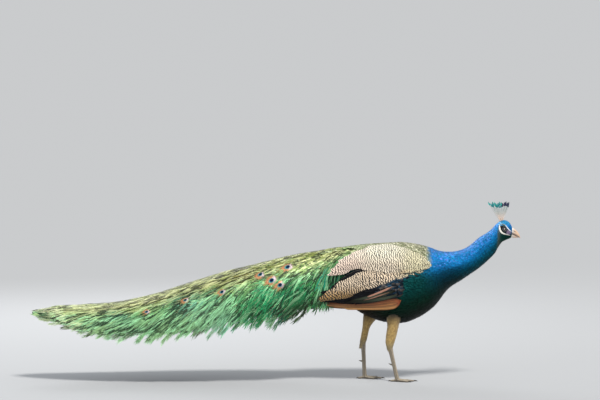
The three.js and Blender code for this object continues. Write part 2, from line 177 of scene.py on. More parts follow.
BODY = Form([
    (181, 458, 194, 380, 34), (251, 494, 262, 315, 67), (337, 517, 348, 258, 96),
    (438, 527, 438, 227, 111), (524, 538, 524, 232, 111), (590, 527, 613, 283, 93),
    (645, 509, 676, 359, 68), (699, 507, 734, 398, 50), (748, 523, 797, 442, 40),
    (797, 562, 837, 477, 33), (822, 577, 858, 499, 29), (842, 592, 872, 524, 25),
    (862, 613, 886, 543, 23), (881, 627, 900, 551, 21.5), (900, 629, 912, 556, 19.5),
    (916, 619, 919.5, 559.5, 15), (925.5, 602, 923.5, 564, 9),
], tailwards=-1)
WING = Form([
    (636, 512, 642, 300, 87), (582, 538, 582, 238, 111), (504, 552, 504, 205, 123),
    (426, 550, 426, 190, 126), (329, 543, 329, 196, 121), (243, 530, 243, 216, 111),
    (142, 512, 142, 232, 98),
])
TRAIN = Form([
    (306, 524, 306, 470, 58), (250, 522, 250, 372, 76), (165, 508, 165, 280, 86),
    (64, 491, 64, 268, 108), (-70, 458, -70, 248, 133), (-205, 425, -205, 224, 147),
    (-345, 381, -345, 203, 151), (-485, 337, -485, 190, 143), (-620, 308, -620, 190, 126),
    (-755, 297, -755, 204, 101), (-878, 290, -878, 232, 66), (-958, 274, -958, 260, 18),
], arch=True)
TAIL = Form([
    (178, 442, 176, 420, 26), (110, 434, 108, 418, 44), (0, 404, -3, 394, 62),
    (-120, 369, -123, 361, 76), (-190, 347, -192, 341, 70), (-218, 338, -219, 334, 40),
])
LEG_SPREAD = 48
THIGHS = {
    "right": Form([
        (505, 330, 400, 330, 33), (493, 262, 428, 256, 29), (482, 222, 435, 218, 24),
        (473, 186, 431, 182, 19), (464, 157, 430, 153, 14), (458, 139, 434, 135, 10),
    ], y=-LEG_SPREAD),
    "left": Form([
        (462, 330, 352, 330, 33), (430, 272, 345, 262, 29), (398, 238, 343, 230, 25),
        (371, 203, 341, 198, 18), (360, 162, 334, 158, 13), (356, 148, 332, 144, 10),
    ], y=LEG_SPREAD),
}
# The depth of the small feathers at each section of the body, in millimetres.
COAT_DEPTH = (7, 8, 9, 9, 9, 8, 6.5, 5.5, 4.5, 3.8, 3.2, 2.6, 2, 1.7, 1.5, 1.3, 1)


def coat_depth(place):
    return spline(np.array(COAT_DEPTH)[:, None] * MM, place)[..., 0]


# ---------------------------------------------------------------- meshes

def set_tint(mesh, tint):
    rgba = np.ones((len(mesh.vertices), 4), np.float32)
    rgba[:, :3] = np.clip(tint if tint.ndim == 1 else tint.reshape(-1, 3), 0, 1)
    mesh.color_attributes.new("Tint", "FLOAT_COLOR", "POINT").data.foreach_set("color", rgba.ravel())
    mesh.shade_smooth()


def add_object(name, data):
    obj = bpy.data.objects.new(name, data)
    bpy.context.scene.collection.objects.link(obj)
    return obj


def finish_piece(obj, material, nodes=()):
    obj.data.materials.append(material)
    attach(obj, "root")
    if nodes:
        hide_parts(*nodes)


def add_piece(name, points, faces, tint, material, slot, nodes=(), layers=()):
    """A piece from arrays: quads in faces, a colour or one for each point, UV layers (name, a row for
    each point), and the solids that it replaces."""
    mesh = bpy.data.meshes.new(name)
    points = np.ascontiguousarray(points, dtype=np.float32).reshape(-1, 3)
    faces = np.ascontiguousarray(faces, dtype=np.int32)
    mesh.vertices.add(len(points))
    mesh.vertices.foreach_set("co", points.ravel())
    mesh.loops.add(faces.size)
    mesh.loops.foreach_set("vertex_index", faces.ravel())
    mesh.polygons.add(len(faces))
    mesh.polygons.foreach_set("loop_start", np.arange(0, faces.size, 4, dtype=np.int32))
    mesh.update(calc_edges=True)
    for layer, values in layers:
        uv = mesh.uv_layers.new(name=layer).uv
        uv.foreach_set("vector", np.ascontiguousarray(values[faces.ravel()], dtype=np.float32).ravel())
    set_tint(mesh, tint)
    finish_piece(add_object(name, mesh), material, nodes)


def add_pair(name, points, faces, tint, material, slot, nodes=()):
    """A piece on the bird's right and its mirror image on the left."""
    for side, way in SIDES.items():
        add_piece(f"{name}_{side}", points * [1, -way, 1], faces[:, ::-way], tint, material, slot,
                  [f"{node}_{side}" for node in nodes])


def grid_faces(rows, cols, count=1, wrap=False):
    """Quads of count grids of points, rows by cols, one after another; wrap joins the last column to
    the first."""
    r, c = np.meshgrid(np.arange(rows - 1), np.arange(cols if wrap else cols - 1), indexing="ij")
    r, c = r.ravel(), c.ravel()
    right = (c + 1) % cols
    quad = np.stack([r * cols + c, (r + 1) * cols + c, (r + 1) * cols + right, r * cols + right], -1)
    return (quad[None] + (np.arange(count) * rows * cols)[:, None, None]).reshape(-1, 4)


def gathered(grids):
    """Closed tubes of points, each with its colours, as the arrays of one mesh."""
    total, points, faces, tints = 0, [], [], []
    for tube, tint in grids:
        points.append(tube.reshape(-1, 3))
        faces.append(grid_faces(*tube.shape[:2], wrap=True) + total)
        tints.append(np.broadcast_to(tint, tube.shape).reshape(-1, 3))
        total += len(points[-1])
    return np.concatenate(points), np.concatenate(faces), np.concatenate(tints)


class Coat:
    """Many small grids of one kind gathered into one mesh."""

    def __init__(self):
        self.points, self.faces, self.bake, self.vane, self.tint, self.total = [], [], [], [], [], 0

    def add(self, points, shape, tint, bake, cell=0.003):
        """Points are (count, rows * cols, 3), bake the middle of each grid's patch on the unwrap, and
        cell the patch's size."""
        points = points.reshape(-1, shape[0] * shape[1], 3)
        count, size = points.shape[:2]
        along, across = np.meshgrid(*(np.linspace(0, 1, k) for k in shape), indexing="ij")
        local = np.stack([across.ravel(), along.ravel()], -1)
        self.points.append(points.reshape(-1, 3))
        self.faces.append(grid_faces(*shape, count) + self.total)
        self.bake.append((bake[:, None] + (local[None] - 0.5) * cell).reshape(-1, 2))
        self.vane.append(np.broadcast_to(local[None], (count, size, 2)).reshape(-1, 2))
        self.tint.append(np.broadcast_to(tint if tint.ndim == 1 else tint.reshape(-1, 3), (count * size, 3)))
        self.total += count * size

    def build(self, name, material, slot, nodes=(), way=1):
        """One piece, mirrored to the bird's other side if way is -1."""
        layers = (("OFBake", np.clip(np.concatenate(self.bake), 0.001, 0.999)),
                  ("Vane", np.concatenate(self.vane)))
        add_piece(name, np.concatenate(self.points) * [1, way, 1], np.concatenate(self.faces)[:, ::way],
                  np.concatenate(self.tint), material, slot, nodes, layers)

    def build_pair(self, name, material, slot, nodes=()):
        for side, way in SIDES.items():
            self.build(f"{name}_{side}", material, slot, [f"{node}_{side}" for node in nodes], -way)


class Lie:
    """The lie of feathers on a form: steps from each root, ahead along the feather and aside. Feathers
    point tailwards, turned by turn towards the belly."""

    def __init__(self, form, place, angle, turn=0.0):
        self.form, self.place, self.angle = form, place, angle
        along, about, _ = form.axes(place, angle)
        back = unit(along * form.tailwards)
        down = about * np.where(angle < 0, -1, 1)[:, None]
        down = unit(down - back * dot(down, back)[:, None])
        turn = np.broadcast_to(np.asarray(turn, float), place.shape)[:, None]
        forward = back * np.cos(turn) + down * np.sin(turn)
        aside = down * np.cos(turn) - back * np.sin(turn)
        aa, bb, ab = dot(along, along), dot(about, about), dot(along, about)
        det = aa * bb - ab * ab
        to_place = (along * bb[:, None] - about * ab[:, None]) / det[:, None]
        to_angle = (about * aa[:, None] - along * ab[:, None]) / det[:, None]
        self.steps = [(dot(forward, to), dot(aside, to)) for to in (to_place, to_angle)]

    def on_form(self, ahead, aside=0.0):
        """Places and angles for steps given as arrays whose first axis is the feathers."""
        axes = (-1,) + (1,) * (ahead.ndim - 1)
        return [start.reshape(axes) + ahead * by_ahead.reshape(axes) + aside * by_aside.reshape(axes)
                for start, (by_ahead, by_aside) in zip((self.place, self.angle), self.steps)]

    def at(self, ahead, aside, stand, level=None):
        """Points for such steps, standing off the form by stand, and by what level says of them."""
        place, angle = self.on_form(ahead, aside)
        points = self.form.at(place, angle, stand)
        return points if level is None else self.form.at(place, angle, stand + level(points))


def rounded(s):
    """The outline of a small feather, widest at its middle."""
    return np.sqrt(np.clip(1 - np.abs(2 * s - 1.0) ** 2.6 * 0.97, 0.02, 1))


def feather_points(form, place, angle, length, width, turn=0.0, root=0.0, tip=0.0, shape=(4, 3),
                   cup=0.12, level=None, s=None, w=None):
    """Feathers as grids of points, or at the given s along and w across each feather; root and tip are
    how far a feather's ends stand off the form, and cup how far its edges bend down."""
    if s is None:
        s, w = np.meshgrid(np.linspace(0, 1, shape[0]) ** 0.72, np.linspace(-1, 1, shape[1]), indexing="ij")
        s, w = s.ravel()[None], w.ravel()[None]
    length, width, root, tip = (np.broadcast_to(np.asarray(v, float), len(place))[:, None]
                                for v in (length, width, root, tip))
    outline = rounded(s)
    stand = root + (tip - root) * s ** 0.8 - cup * width * w * w * outline
    points = Lie(form, place, angle, turn).at(length * s + 0 * w, width / 2 * w * outline, stand, level)
    return points, s, w


def lay_feathers(coat, form, place, angle, length, width, turn, root, tip, shape, tint, light, vary,
                 cup=0.12, level=None, span=(), patch=(1, 0)):
    """Lay feathers into a coat, each with its own tint times light, which is given the points' s along
    and w across their feather, and a little lighter or darker by up to vary. Span is the unwrap's range
    of places, and patch the scale and shift of its part."""
    points, s, w = feather_points(form, place, angle, length, width, turn, root, tip, shape, cup, level)
    shade = (1 + RNG.uniform(-vary, vary, len(place)))[:, None, None]
    bake = unwrap(form, place, angle, *span) * patch[0] + patch[1]
    coat.add(points, shape, tint[:, None] * light(s, w)[..., None] * shade, bake)


def scale_light(bright, dim, inner, outer=0.95):
    """The light on a small scale, bright in its middle and dim towards its edge."""
    return lambda s, w: bright - dim * smooth(inner, outer, np.maximum(s, np.abs(w)))


def unwrap(form, place, angle, low=0.0, high=None):
    """Where a root lies on the unwrap of its form, from 0.02 to 0.98 each way."""
    high = form.last if high is None else high
    return np.stack([0.02 + 0.96 * np.clip((place - low) / (high - low), 0, 1),
                     0.02 + 0.96 * ((np.asarray(angle) / TURN + 0.5) % 1)], -1)


def varied(tint, share, colour, amount=0.8):
    """Some of the rows of tint, chosen at random, moved towards a colour."""
    picked = RNG.random(len(tint)) < share
    return np.where(picked[:, None], mix(tint, colour, amount), tint)


# ---------------------------------------------------------------- materials

def add_node(tree, kind, inputs=(), **settings):
    """A shader node, with each input set to a constant or linked to another node's socket."""
    node = tree.nodes.new("ShaderNode" + kind)
    for name, value in settings.items():
        setattr(node, name, value)
    for socket, value in dict(inputs).items():
        if isinstance(value, bpy.types.NodeSocket):
            tree.links.new(value, node.inputs[socket])
        else:
            node.inputs[socket].default_value = value
    return node


def new_material(name):
    material = bpy.data.materials.new(name)
    material.use_nodes = True
    material.node_tree.nodes.clear()
    return material, material.node_tree


def surface(name, roughness, barbs=0, metallic=0.0, sheen=0.0, specular=0.5, coat=0.0, scale=260.0,
            mottle=0.25, depth=0.35, bump=0.4):
    """A material coloured by Tint and mottled with noise: vanes with slanting barbs, or a grained hide
    where barbs is 0."""
    material, tree = new_material(name)

    def calc(operation, *values):
        return add_node(tree, "Math", enumerate(values), operation=operation).outputs[0]

    place = add_node(tree, "TexCoord").outputs["Object"]
    noise = add_node(tree, "TexNoise", {"Vector": place, "Scale": scale,
                                        "Detail": 3 if barbs else 4}).outputs[0]
    gain = calc("MULTIPLY", calc("SUBTRACT", noise, 0.5), mottle * 2)
    if barbs:
        vane = add_node(tree, "UVMap", uv_map="Vane").outputs[0]
        across, along, _ = add_node(tree, "SeparateXYZ", {0: vane}).outputs
        off = calc("ABSOLUTE", calc("SUBTRACT", across, 0.5))
        slant = calc("SUBTRACT", along, calc("MULTIPLY", off, 0.7))
        relief = calc("SINE", calc("MULTIPLY", slant, barbs * TURN))
        gain = calc("ADD", calc("MULTIPLY", relief, depth * 0.35), gain)
    else:
        relief = add_node(tree, "TexVoronoi", {"Vector": place, "Scale": scale * 1.3}).outputs[0]
    tint = add_node(tree, "Attribute", attribute_name="Tint").outputs["Color"]
    colour = add_node(tree, "HueSaturation", {"Color": tint, "Value": calc("ADD", gain, 1.0)})
    raised = add_node(tree, "Bump", {"Strength": bump, "Distance": 0.0006 if barbs else 0.0005,
                                     "Height": calc("ADD", relief, noise)})
    shader = add_node(tree, "BsdfPrincipled", {
        "Base Color": colour.outputs[0], "Normal": raised.outputs[0], "Roughness": roughness,
        "Metallic": metallic, "Sheen Weight": sheen, "Specular IOR Level": specular,
        "Coat Weight": coat, "Coat Roughness": 0.08})
    add_node(tree, "OutputMaterial", {"Surface": shader.outputs[0]})
    return material


GLOSSY = surface("glossy_feathers", 0.4, barbs=6, metallic=0.55, specular=0.12)
SCALY = surface("back_scales", 0.42, barbs=8, metallic=0.3, specular=0.3)
PLAIN = surface("plain_feathers", 0.7, barbs=10, sheen=0.3, depth=0.25)
FLIGHT = surface("flight_feathers", 0.5, barbs=60, metallic=0.05, sheen=0.15, depth=0.3)
LOOSE = surface("loose_barbs", 0.4, barbs=2, metallic=0.3, depth=0.1, bump=0.15, specular=0.35)
SKIN = surface("skin", 0.7, sheen=0.2, bump=0.5, scale=500, mottle=0.3)
SCALES = surface("leg_scales", 0.5, bump=0.35, scale=700)
HORN = surface("horn", 0.35, bump=0.12, scale=900, mottle=0.12, coat=0.3)
BARE = surface("bare_skin", 0.6, bump=0.3, scale=900, mottle=0.12)
WET = surface("wet_eye", 0.15, bump=0.0, scale=900, mottle=0.15, coat=1.0)


# ---------------------------------------------------------------- skin

def body_tone(place, angle):
    """The colour of the body's small feathers, and of the skin under them."""
    place, angle = np.broadcast_arrays(np.asarray(place, float), np.abs(np.asarray(angle, float)))
    height = upness(angle)
    upper = smooth(5.8, 8.5, place)
    # The breast: teal where it meets the wing, through bottle green to a black belly.
    # Its darkening towards the belly is partly real colour and partly painted shade.
    breast = layered(mix(INK, BOTTLE, smooth(0.02, 0.25, height)),
                     (SEA, smooth(0.2, 0.5, height)), (TEAL, smooth(0.5, 0.8, height)))
    # The neck: bright blue with a paler nape, turning teal and dark down the throat.
    # The paler top is a painted highlight, and the dark down the throat is partly painted shade.
    high = height - 0.1 * (1 - upper)
    blue = layered(
        mix("052425", "083f46", upper), (mix("032f3c", "024e60", upper), smooth(0.04, 0.22, high)),
        (mix("033f5a", COBALT, upper), smooth(0.2, 0.4, high)), (ROYAL, smooth(0.38, 0.56, high)),
        (AZURE, smooth(0.52, 0.74, high)), (SKY, smooth(0.76, 0.96, high)))
    # The back between the wings is bronze green; vent and flanks are sooty.
    back = smooth(0.66, 0.84, height) * (1 - smooth(4.95, 5.5, place + 0.4 * (height - 0.9)))
    rear = (1 - smooth(1.6, 3.4, place)) * (1 - smooth(0.4, 0.75, height))
    return layered(breast, (blue, smooth(4.5, 6.1, place + 0.9 * (height - 0.5))), (BRONZE, back),
                   (UMBER * 0.45, rear))


def nearest_on_body(points):
    place, angle = np.meshgrid(np.linspace(0, BODY.last, 161), np.linspace(-math.pi, math.pi, 73),
                               indexing="ij")
    samples = BODY.at(place, angle, -0.005).reshape(-1, 3)
    tree = KDTree(len(samples))
    for i, sample in enumerate(samples):
        tree.insert(sample, i)
    tree.balance()
    found = np.array([tree.find(point)[1] for point in points])
    return place.ravel()[found], angle.ravel()[found]


def add_skin():
    """One skin for the head, neck, trunk and thighs, under the feathers by their depth."""
    parts = [(BODY, 0.02, 180, 72, lambda p: -coat_depth(p))]
    parts += [(form, 0, 40, 40, lambda p: -0.004 + 0.0005 * p) for form in THIGHS.values()]
    verts, faces = [], []
    for form, start, rings, sides, grow in parts:
        place = np.linspace(start, form.last, rings)[:, None]
        points = form.at(place, ring(sides, -math.pi)[None], grow(place)).reshape(-1, 3)
        first, last = len(verts), len(verts) + len(points) - sides
        faces += (grid_faces(rings, sides, wrap=True) + first).tolist()
        faces += [list(range(first, first + sides))[::-1], list(range(last, last + sides))]
        verts += points.tolist()
    mesh = bpy.data.meshes.new("skin")
    mesh.from_pydata(verts, [], faces)
    skin = add_object("skin", mesh)
    remesh = skin.modifiers.new("one_skin", "REMESH")
    remesh.mode, remesh.voxel_size = "VOXEL", 0.0028
    even = skin.modifiers.new("even", "SMOOTH")
    even.factor, even.iterations = 0.5, 4
    whole = bpy.data.meshes.new_from_object(skin.evaluated_get(bpy.context.evaluated_depsgraph_get()))
    skin.modifiers.clear()
    skin.data = whole
    whole.name = "skin"
    points = np.empty(len(whole.vertices) * 3, np.float32)
    whole.vertices.foreach_get("co", points)
    points = points.reshape(-1, 3)
    tint = paint_face(points, body_tone(*nearest_on_body(points)))
    for form in THIGHS.values():
        near = (np.abs(points[:, 1] - form.y) < 0.04) & (points[:, 2] < 0.25)
        tint = np.where(near[:, None], BUFF * 0.5, tint)
    set_tint(whole, tint)
    finish_piece(skin, SKIN,
                 ("head", "neck_upper", "neck_lower", "trunk", "thigh_right", "thigh_left"))


# ---------------------------------------------------------------- face

# Bare white skin over and under the eye: x and z of the side view, and the half width.
BROW_LINE = np.array([(878, 614, 0.9), (888, 615, 1.2), (897, 611, 1.6), (904, 602.5, 2.2),
                      (912, 593, 2.3), (921, 585.5, 1.5)]) * MM
CHEEK_LINE = np.array([(875, 613, 1.3), (874.5, 603, 3.0), (877, 591, 3.5), (884, 581.5, 3.2),
                       (894, 576.5, 2.7), (905, 573.5, 2.0), (917, 570.5, 1.3)]) * MM
MASK = np.array([895.5, 594.5, 23, 13]) * MM  # x, z and half widths of the dark oval round the eye
EYE = np.array([894.0, 16.9, 594.0]) * MM
EYE_RADIUS = 6.6 * MM
EYE_CLEAR = 0.0084  # no feather grows this near to the eye's middle


def line_nearness(points, line):
    """How near points of the side view are to a line, 1 on it and 0 at its edge or beyond."""
    fine = spline(line, np.linspace(0, len(line) - 1, 60))
    gap = np.linalg.norm(points[:, None, [0, 2]] - fine[None, :, :2], axis=-1) / fine[None, :, 2]
    return np.clip(1 - gap.min(axis=1), 0, 1)


def paint_face(points, tint):
    """The face's markings over a body colour: white bare skin round a dark mask with the eye in it."""
    near = points[:, 0] > 0.85
    face = points[near]
    x, z = face[:, 0], face[:, 2]

    def spot(at_x, at_z, half_x, half_z, core, tilt=0.0):
        """1 in a soft oval of the side view, 0 outside it."""
        ahead, above = x - at_x, z - at_z
        return smooth(1.0, core, np.hypot(ahead / half_x, (above + tilt * ahead) / half_z))

    cheek = smooth(0.6, 0.587, z + 0.5 * (x - 0.88)) * smooth(0.866, 0.874, x)
    crown = smooth(0.609, 0.616, z) * smooth(0.87, 0.884, x)
    colour = layered(
        tint[near],
        (mix("4a5a54", "0b3a30", smooth(0.872, 0.89, x)), cheek * 0.92),
        ("4d5d58", spot(0.8885, 0.602, 0.015, 0.0125, 0.7)),
        (mix("191c20", "8a8294", smooth(0.010, 0.022, x - MASK[0])), spot(*MASK, 0.8, 0.42)),
        ("a48eac", spot(0.913, 0.5815, 0.011, 0.0115, 0.6) * 0.85),
        ("2f8fc0", crown * 0.85),
        # A painted highlight on the crown above the eye.
        ("8cc8ec", spot(0.882, 0.6185, 0.012, 0.008, 0.2) * 0.6),
        *((WHITE * 0.8, smooth(0.3, 0.6, line_nearness(face, line))) for line in (BROW_LINE, CHEEK_LINE)))
    tint = tint.copy()
    tint[near] = colour
    return tint


# ---------------------------------------------------------------- outlines of the side view

def in_outline(points, outline):
    """Whether points of the side view lie in a closed outline."""
    x, z = points[:, 0], points[:, 2]
    inside = np.zeros(len(points), bool)
    for (x0, z0), (x1, z1) in zip(outline, np.roll(outline, -1, axis=0)):
        crosses = (z0 > z) != (z1 > z)
        inside ^= crosses & (x < (x1 - x0) * (z - z0) / (z1 - z0 + 1e-12) + x0)
    return inside


def smooth_outline(points, steps=8):
    points = np.array(points, float) * MM
    n = len(points)
    return spline(np.concatenate([points[-1:], points, points[:2]]),
                  np.linspace(0, n, n * steps, endpoint=False) + 1)


def shrunk(outline, amount):
    middle = outline.mean(axis=0)
    reach = np.linalg.norm(outline - middle, axis=1, keepdims=True)
    return middle + (outline - middle) * (1 - amount / np.maximum(reach, amount * 1.5))


SCAPULARS = smooth_outline([
    (605, 458), (578, 494), (508, 528), (448, 541), (383, 537), (311, 515), (239, 468), (201, 421),
    (216, 412), (270, 427), (327, 443), (400, 442), (480, 434), (560, 436),
])
WING_COVERTS = smooth_outline([
    (598, 434), (545, 427), (470, 429), (400, 437), (327, 437), (257, 394), (204, 359), (170, 330),
    (177, 316), (230, 310), (300, 309), (370, 311), (430, 327), (487, 341), (498, 378), (506, 410),
    (563, 421),
])
COVERT_BED = smooth_outline([
    (596, 438), (545, 446), (470, 455), (400, 458), (345, 452), (300, 440), (258, 412), (208, 363),
    (170, 330), (177, 316), (230, 310), (300, 309), (370, 311), (430, 327), (487, 341), (498, 378),
    (506, 410), (563, 424),
])
PRIMARIES = smooth_outline([
    (489, 322), (463, 331), (425, 322), (370, 313), (300, 314), (240, 311), (171, 303), (168, 294),
    (204, 286), (274, 281), (362, 281), (420, 277), (465, 283), (487, 300),
])
BARRED_SCAPULARS = smooth_outline([
    (604, 459), (578, 498), (508, 532), (448, 545), (383, 541), (311, 519), (239, 475), (203, 430),
    (218, 421), (270, 438), (327, 452), (400, 444), (480, 434), (556, 442),
])
BARRED_COVERTS = smooth_outline([
    (580, 450), (545, 447), (470, 447), (400, 450), (334, 440), (292, 422), (257, 400), (228, 371),
    (204, 353), (170, 330), (180, 318), (262, 330), (333, 358), (400, 386), (450, 404), (500, 415),
    (545, 429),
])


# ---------------------------------------------------------------- small feathers

def flecks(place, angle):
    """A broken field over the body, from 0 to 1, for feathers that lie a little apart."""
    a = np.sin(7.1 * place + 3.3 * np.sin(2.2 * angle + 1)) * np.sin(9.0 * angle + 2.1 * np.sin(5 * place))
    b = np.sin(15.7 * place + 2.6 * angle + 2) * np.sin(19 * angle - 8.3 * place)
    return np.clip(0.5 + 0.35 * a + 0.3 * b, 0, 1)


def lay_on_body(coat, place, angle, length, width, shape):
    n = len(place)
    deep = coat_depth(place)
    length = length * RNG.uniform(0.8, 1.2, n)
    width = width * RNG.uniform(0.85, 1.15, n)
    turn = RNG.normal(0.0, 0.12, n)
    loose = smooth(0.75, 1.0, flecks(place, angle)) * (place > 5.2)
    tip = (RNG.uniform(-0.12, 0.14, n) + 0.15 * loose) * deep
    tint = body_tone(place + RNG.normal(0, 0.07, n) * (place < 6.5), angle)
    border = place + RNG.normal(0, 0.1, n) + 0.08 * np.sin(9 * angle)
    back = smooth(0.7, 0.85, upness(angle)) * (1 - smooth(4.95, 5.5, border))
    neck = smooth(5.0, 6.0, place) * (1 - smooth(11.5, 13, place))
    high = smooth(0.55, 0.85, upness(angle))
    # Dark dabs and some darkened feathers on the neck are painted shadows between its feathers.
    shadow_dab = smooth(0.62, 0.95, flecks(place + 3, angle * 1.3)) * smooth(8.0, 9.2, place)
    # Violet and cyan flecks on the neck, most towards its top, are painted sheen.
    cyan = (0.2 + 0.25 * high) * (0.12 + 0.88 * smooth(6.2, 8.6, place + 2.5 * high))
    tint = layered(
        tint, (tint * 0.3, np.maximum(shadow_dab, 0.45 * (RNG.random(n) < 0.25)) * neck * 0.9),
        ("7c8df2", (RNG.random(n) < 0.2) * neck * 0.5 * high),
        ("12a5cf", (RNG.random(n) < 0.16) * neck * cyan),
        (mix(PALE_SCALE, DARK_SCALE, RNG.random(n) ** 1.3), back * 0.88))
    tint = paint_face(BODY.at(place, angle), tint)

    def light(s, w):
        """Plain small feathers turn into scales on the back."""
        plain = 0.62 + 0.62 * s - 0.14 * w * w
        return plain * (1 - back[:, None]) + scale_light(1.3, 0.95, 0.55)(s, w * 0.9) * back[:, None]

    lay_feathers(coat, BODY, place, angle, length, width, turn, -deep * 0.75, tip, shape, tint, light, 0.24,
                 cup=0.1)


def add_small_feathers():
    def under_wings(roots, angle):
        return in_outline(roots, shrunk(SCAPULARS, 0.03)) | in_outline(roots, shrunk(WING_COVERTS, 0.03))

    def bare_face(roots, angle):
        bare = sum(line_nearness(points, line) > limit
                   for points, limit in ((roots, 0.12), (roots - [0.0025, 0, -0.0012], 0.5))
                   for line in (BROW_LINE, CHEEK_LINE)) > 0
        eye = np.linalg.norm((roots - EYE * [1, 0, 1])[:, [0, 2]], axis=1) < EYE_CLEAR
        return (bare | eye) & (np.abs(np.sin(angle)) > 0.45)

    def flank(place, angle):
        return 3.4 + 1.6 * smooth(3.2, 1.5, place) * (1 - upness(angle))

    # The span in sections, the spacing in millimetres with where it grows, the length and width in
    # spacings, the grid of each feather, and where none grow.
    for name, slot, (start, end), (least, more, *span), length, width, shape, hidden in (
        ("neck_feathers", "neck", (11.3, 5.6), (2.9, 2.1, 9.5, 6), lambda *_: 3.3, 1.35, (4, 3), None),
        ("body_feathers", "body", (5.7, 0.25), (5.0, 1.8, 5.5, 4), flank, 1.5, (5, 4), under_wings),
        ("head_feathers", "neck", (15.97, 11.1), (1.25, 1.25, 13.8, 11), lambda *_: 3.0, 1.5, (3, 3),
         bare_face),
    ):
        spacing = lambda p: (least + more * smooth(*span, p)) * MM
        coat = Coat()
        place, angle = BODY.rows(start, end, spacing)
        if hidden:
            keep = ~hidden(BODY.at(place, angle), angle)
            place, angle = place[keep], angle[keep]
        size = spacing(place)
        lay_on_body(coat, place, angle, size * length(place, angle), size * width, shape)
        coat.build(name, GLOSSY, slot)


# ---------------------------------------------------------------- wings

def on_side(form, x, z):
    """Place and angle of points of the side view on the bird's right, by Newton's method."""
    x, z = np.asarray(x, float), np.asarray(z, float)
    middle = (form.table[:, 0] + form.table[:, 2]) / 2
    order = np.argsort(middle)
    place = np.interp(x, middle[order], np.arange(len(middle))[order].astype(float))
    angle = np.full(x.shape, 1.2)
    e = 1e-3
    for _ in range(14):
        here = form.at(place, angle)
        by_place = (form.at(place + e, angle) - here) / e
        by_angle = (form.at(place, angle + e) - here) / e
        miss_x, miss_z = x - here[..., 0], z - here[..., 2]
        det = by_place[..., 0] * by_angle[..., 2] - by_place[..., 2] * by_angle[..., 0]
        det = np.where(np.abs(det) < 1e-7, 1e-7, det)
        step_p = (miss_x * by_angle[..., 2] - miss_z * by_angle[..., 0]) / det
        step_a = (miss_z * by_place[..., 0] - miss_x * by_place[..., 2]) / det
        place = place + np.clip(step_p, -1, 1)
        angle = np.clip(angle + np.clip(step_a, -0.4, 0.4), 0.12, math.pi - 0.1)
    return place, angle


def rim_distance(points, outline):
    """How far points are from an outline, in the side view."""
    a, b = outline, np.roll(outline, -1, axis=0)
    flat = points[..., [0, 2]].reshape(-1, 1, 2)
    t = np.clip(dot(flat - a, b - a) / np.maximum(dot(b - a, b - a), 1e-12), 0, 1)
    gap = np.linalg.norm(a + (b - a) * t[..., None] - flat, axis=-1).min(axis=1)
    return gap.reshape(points.shape[:-1])


def pillow_level(outline, fall, width):
    """How much lower a lobe's surface lies near its rim."""
    def level(points):
        inside = in_outline(points.reshape(-1, 3), outline).reshape(points.shape[:-1])
        gap = np.where(inside, rim_distance(points, outline), 0)
        return -fall * (1 - smooth(0, width, gap))
    return level


def lobe_underlay(name, outline, spine, sink, level, tint):
    """The closed soft body of a wing's lobe under its feathers, on both sides of the bird."""
    under = 0.0028  # how far below the feathers' level its upper side lies
    start, end = np.array(spine) * MM
    line = start + (end - start) * np.linspace(0, 1, 40)[:, None]
    near = line[np.linalg.norm(outline[:, None] - line[None], axis=-1).argmin(axis=1)]
    hoops = []
    # Hoops from under the spine out to the rim and back over the top: the share of the way in, and how
    # far the underside stands off the wing.
    for share, stand in ((1, -0.017), (0.35, -0.017), (0.05, -0.015), (0.0, -0.011), (0.03, None),
                         (0.08, None), (0.16, None), (0.3, None), (0.5, None), (0.75, None), (1, None)):
        flat = outline + (near - outline) * share
        place, angle = on_side(WING, flat[:, 0], flat[:, 1])
        rise = -sink - under + level(WING.at(place, angle)) if stand is None else stand
        hoops.append(WING.at(place, angle, rise))
    add_pair(name, np.concatenate(hoops), grid_faces(len(hoops), len(outline), wrap=True), tint, SKIN,
             "barred")


def lobe_gap(spacing, place):
    """The feathers of a lobe are smaller and closer towards the shoulder."""
    return spacing * (0.6 + 0.4 * smooth(0.4, 2.6, place))


def lobe_roots(outline, spacing, flow, length):
    """Roots, angles, turns and lengths of the feathers whose middles lie in an outline."""
    place, angle = WING.rows(-0.6, 6.4, lambda p: lobe_gap(spacing, p), (8, 128))
    roots = WING.at(place, angle)
    turn, size = flow(roots), length(roots[:, 0])
    lie = Lie(WING, place, angle, turn)
    middle, tip = (lie.at(size[:, None] * share, 0 * size[:, None], 0.0)[:, 0] for share in (0.5, 1))
    inset = 0.0045 * smooth(0.38, 0.34, middle[:, 0]) * smooth(0.25, 0.3, middle[:, 0])
    keep = in_outline(middle, outline) & in_outline(tip, shrunk(outline, -0.004))
    keep &= rim_distance(middle, outline) > inset
    return place[keep], angle[keep], turn[keep], size[keep]


def edge_roots(line, step, size):
    """Roots, angles, turns and lengths of a row of feathers along a lobe's lower edge."""
    fine = spline_of(line, 200)
    along = np.concatenate([[0], np.cumsum(np.linalg.norm(np.diff(fine, axis=0), axis=1))])
    at = np.arange(0, along[-1], step)
    x, z = np.interp(at, along, fine[:, 0]), np.interp(at, along, fine[:, 1])
    ahead = np.gradient(np.stack([x, z], -1), axis=0)
    place, angle = on_side(WING, x, z)
    return place, angle, np.arctan2(-ahead[:, 1], -ahead[:, 0]) + 0.05, size + 0 * at


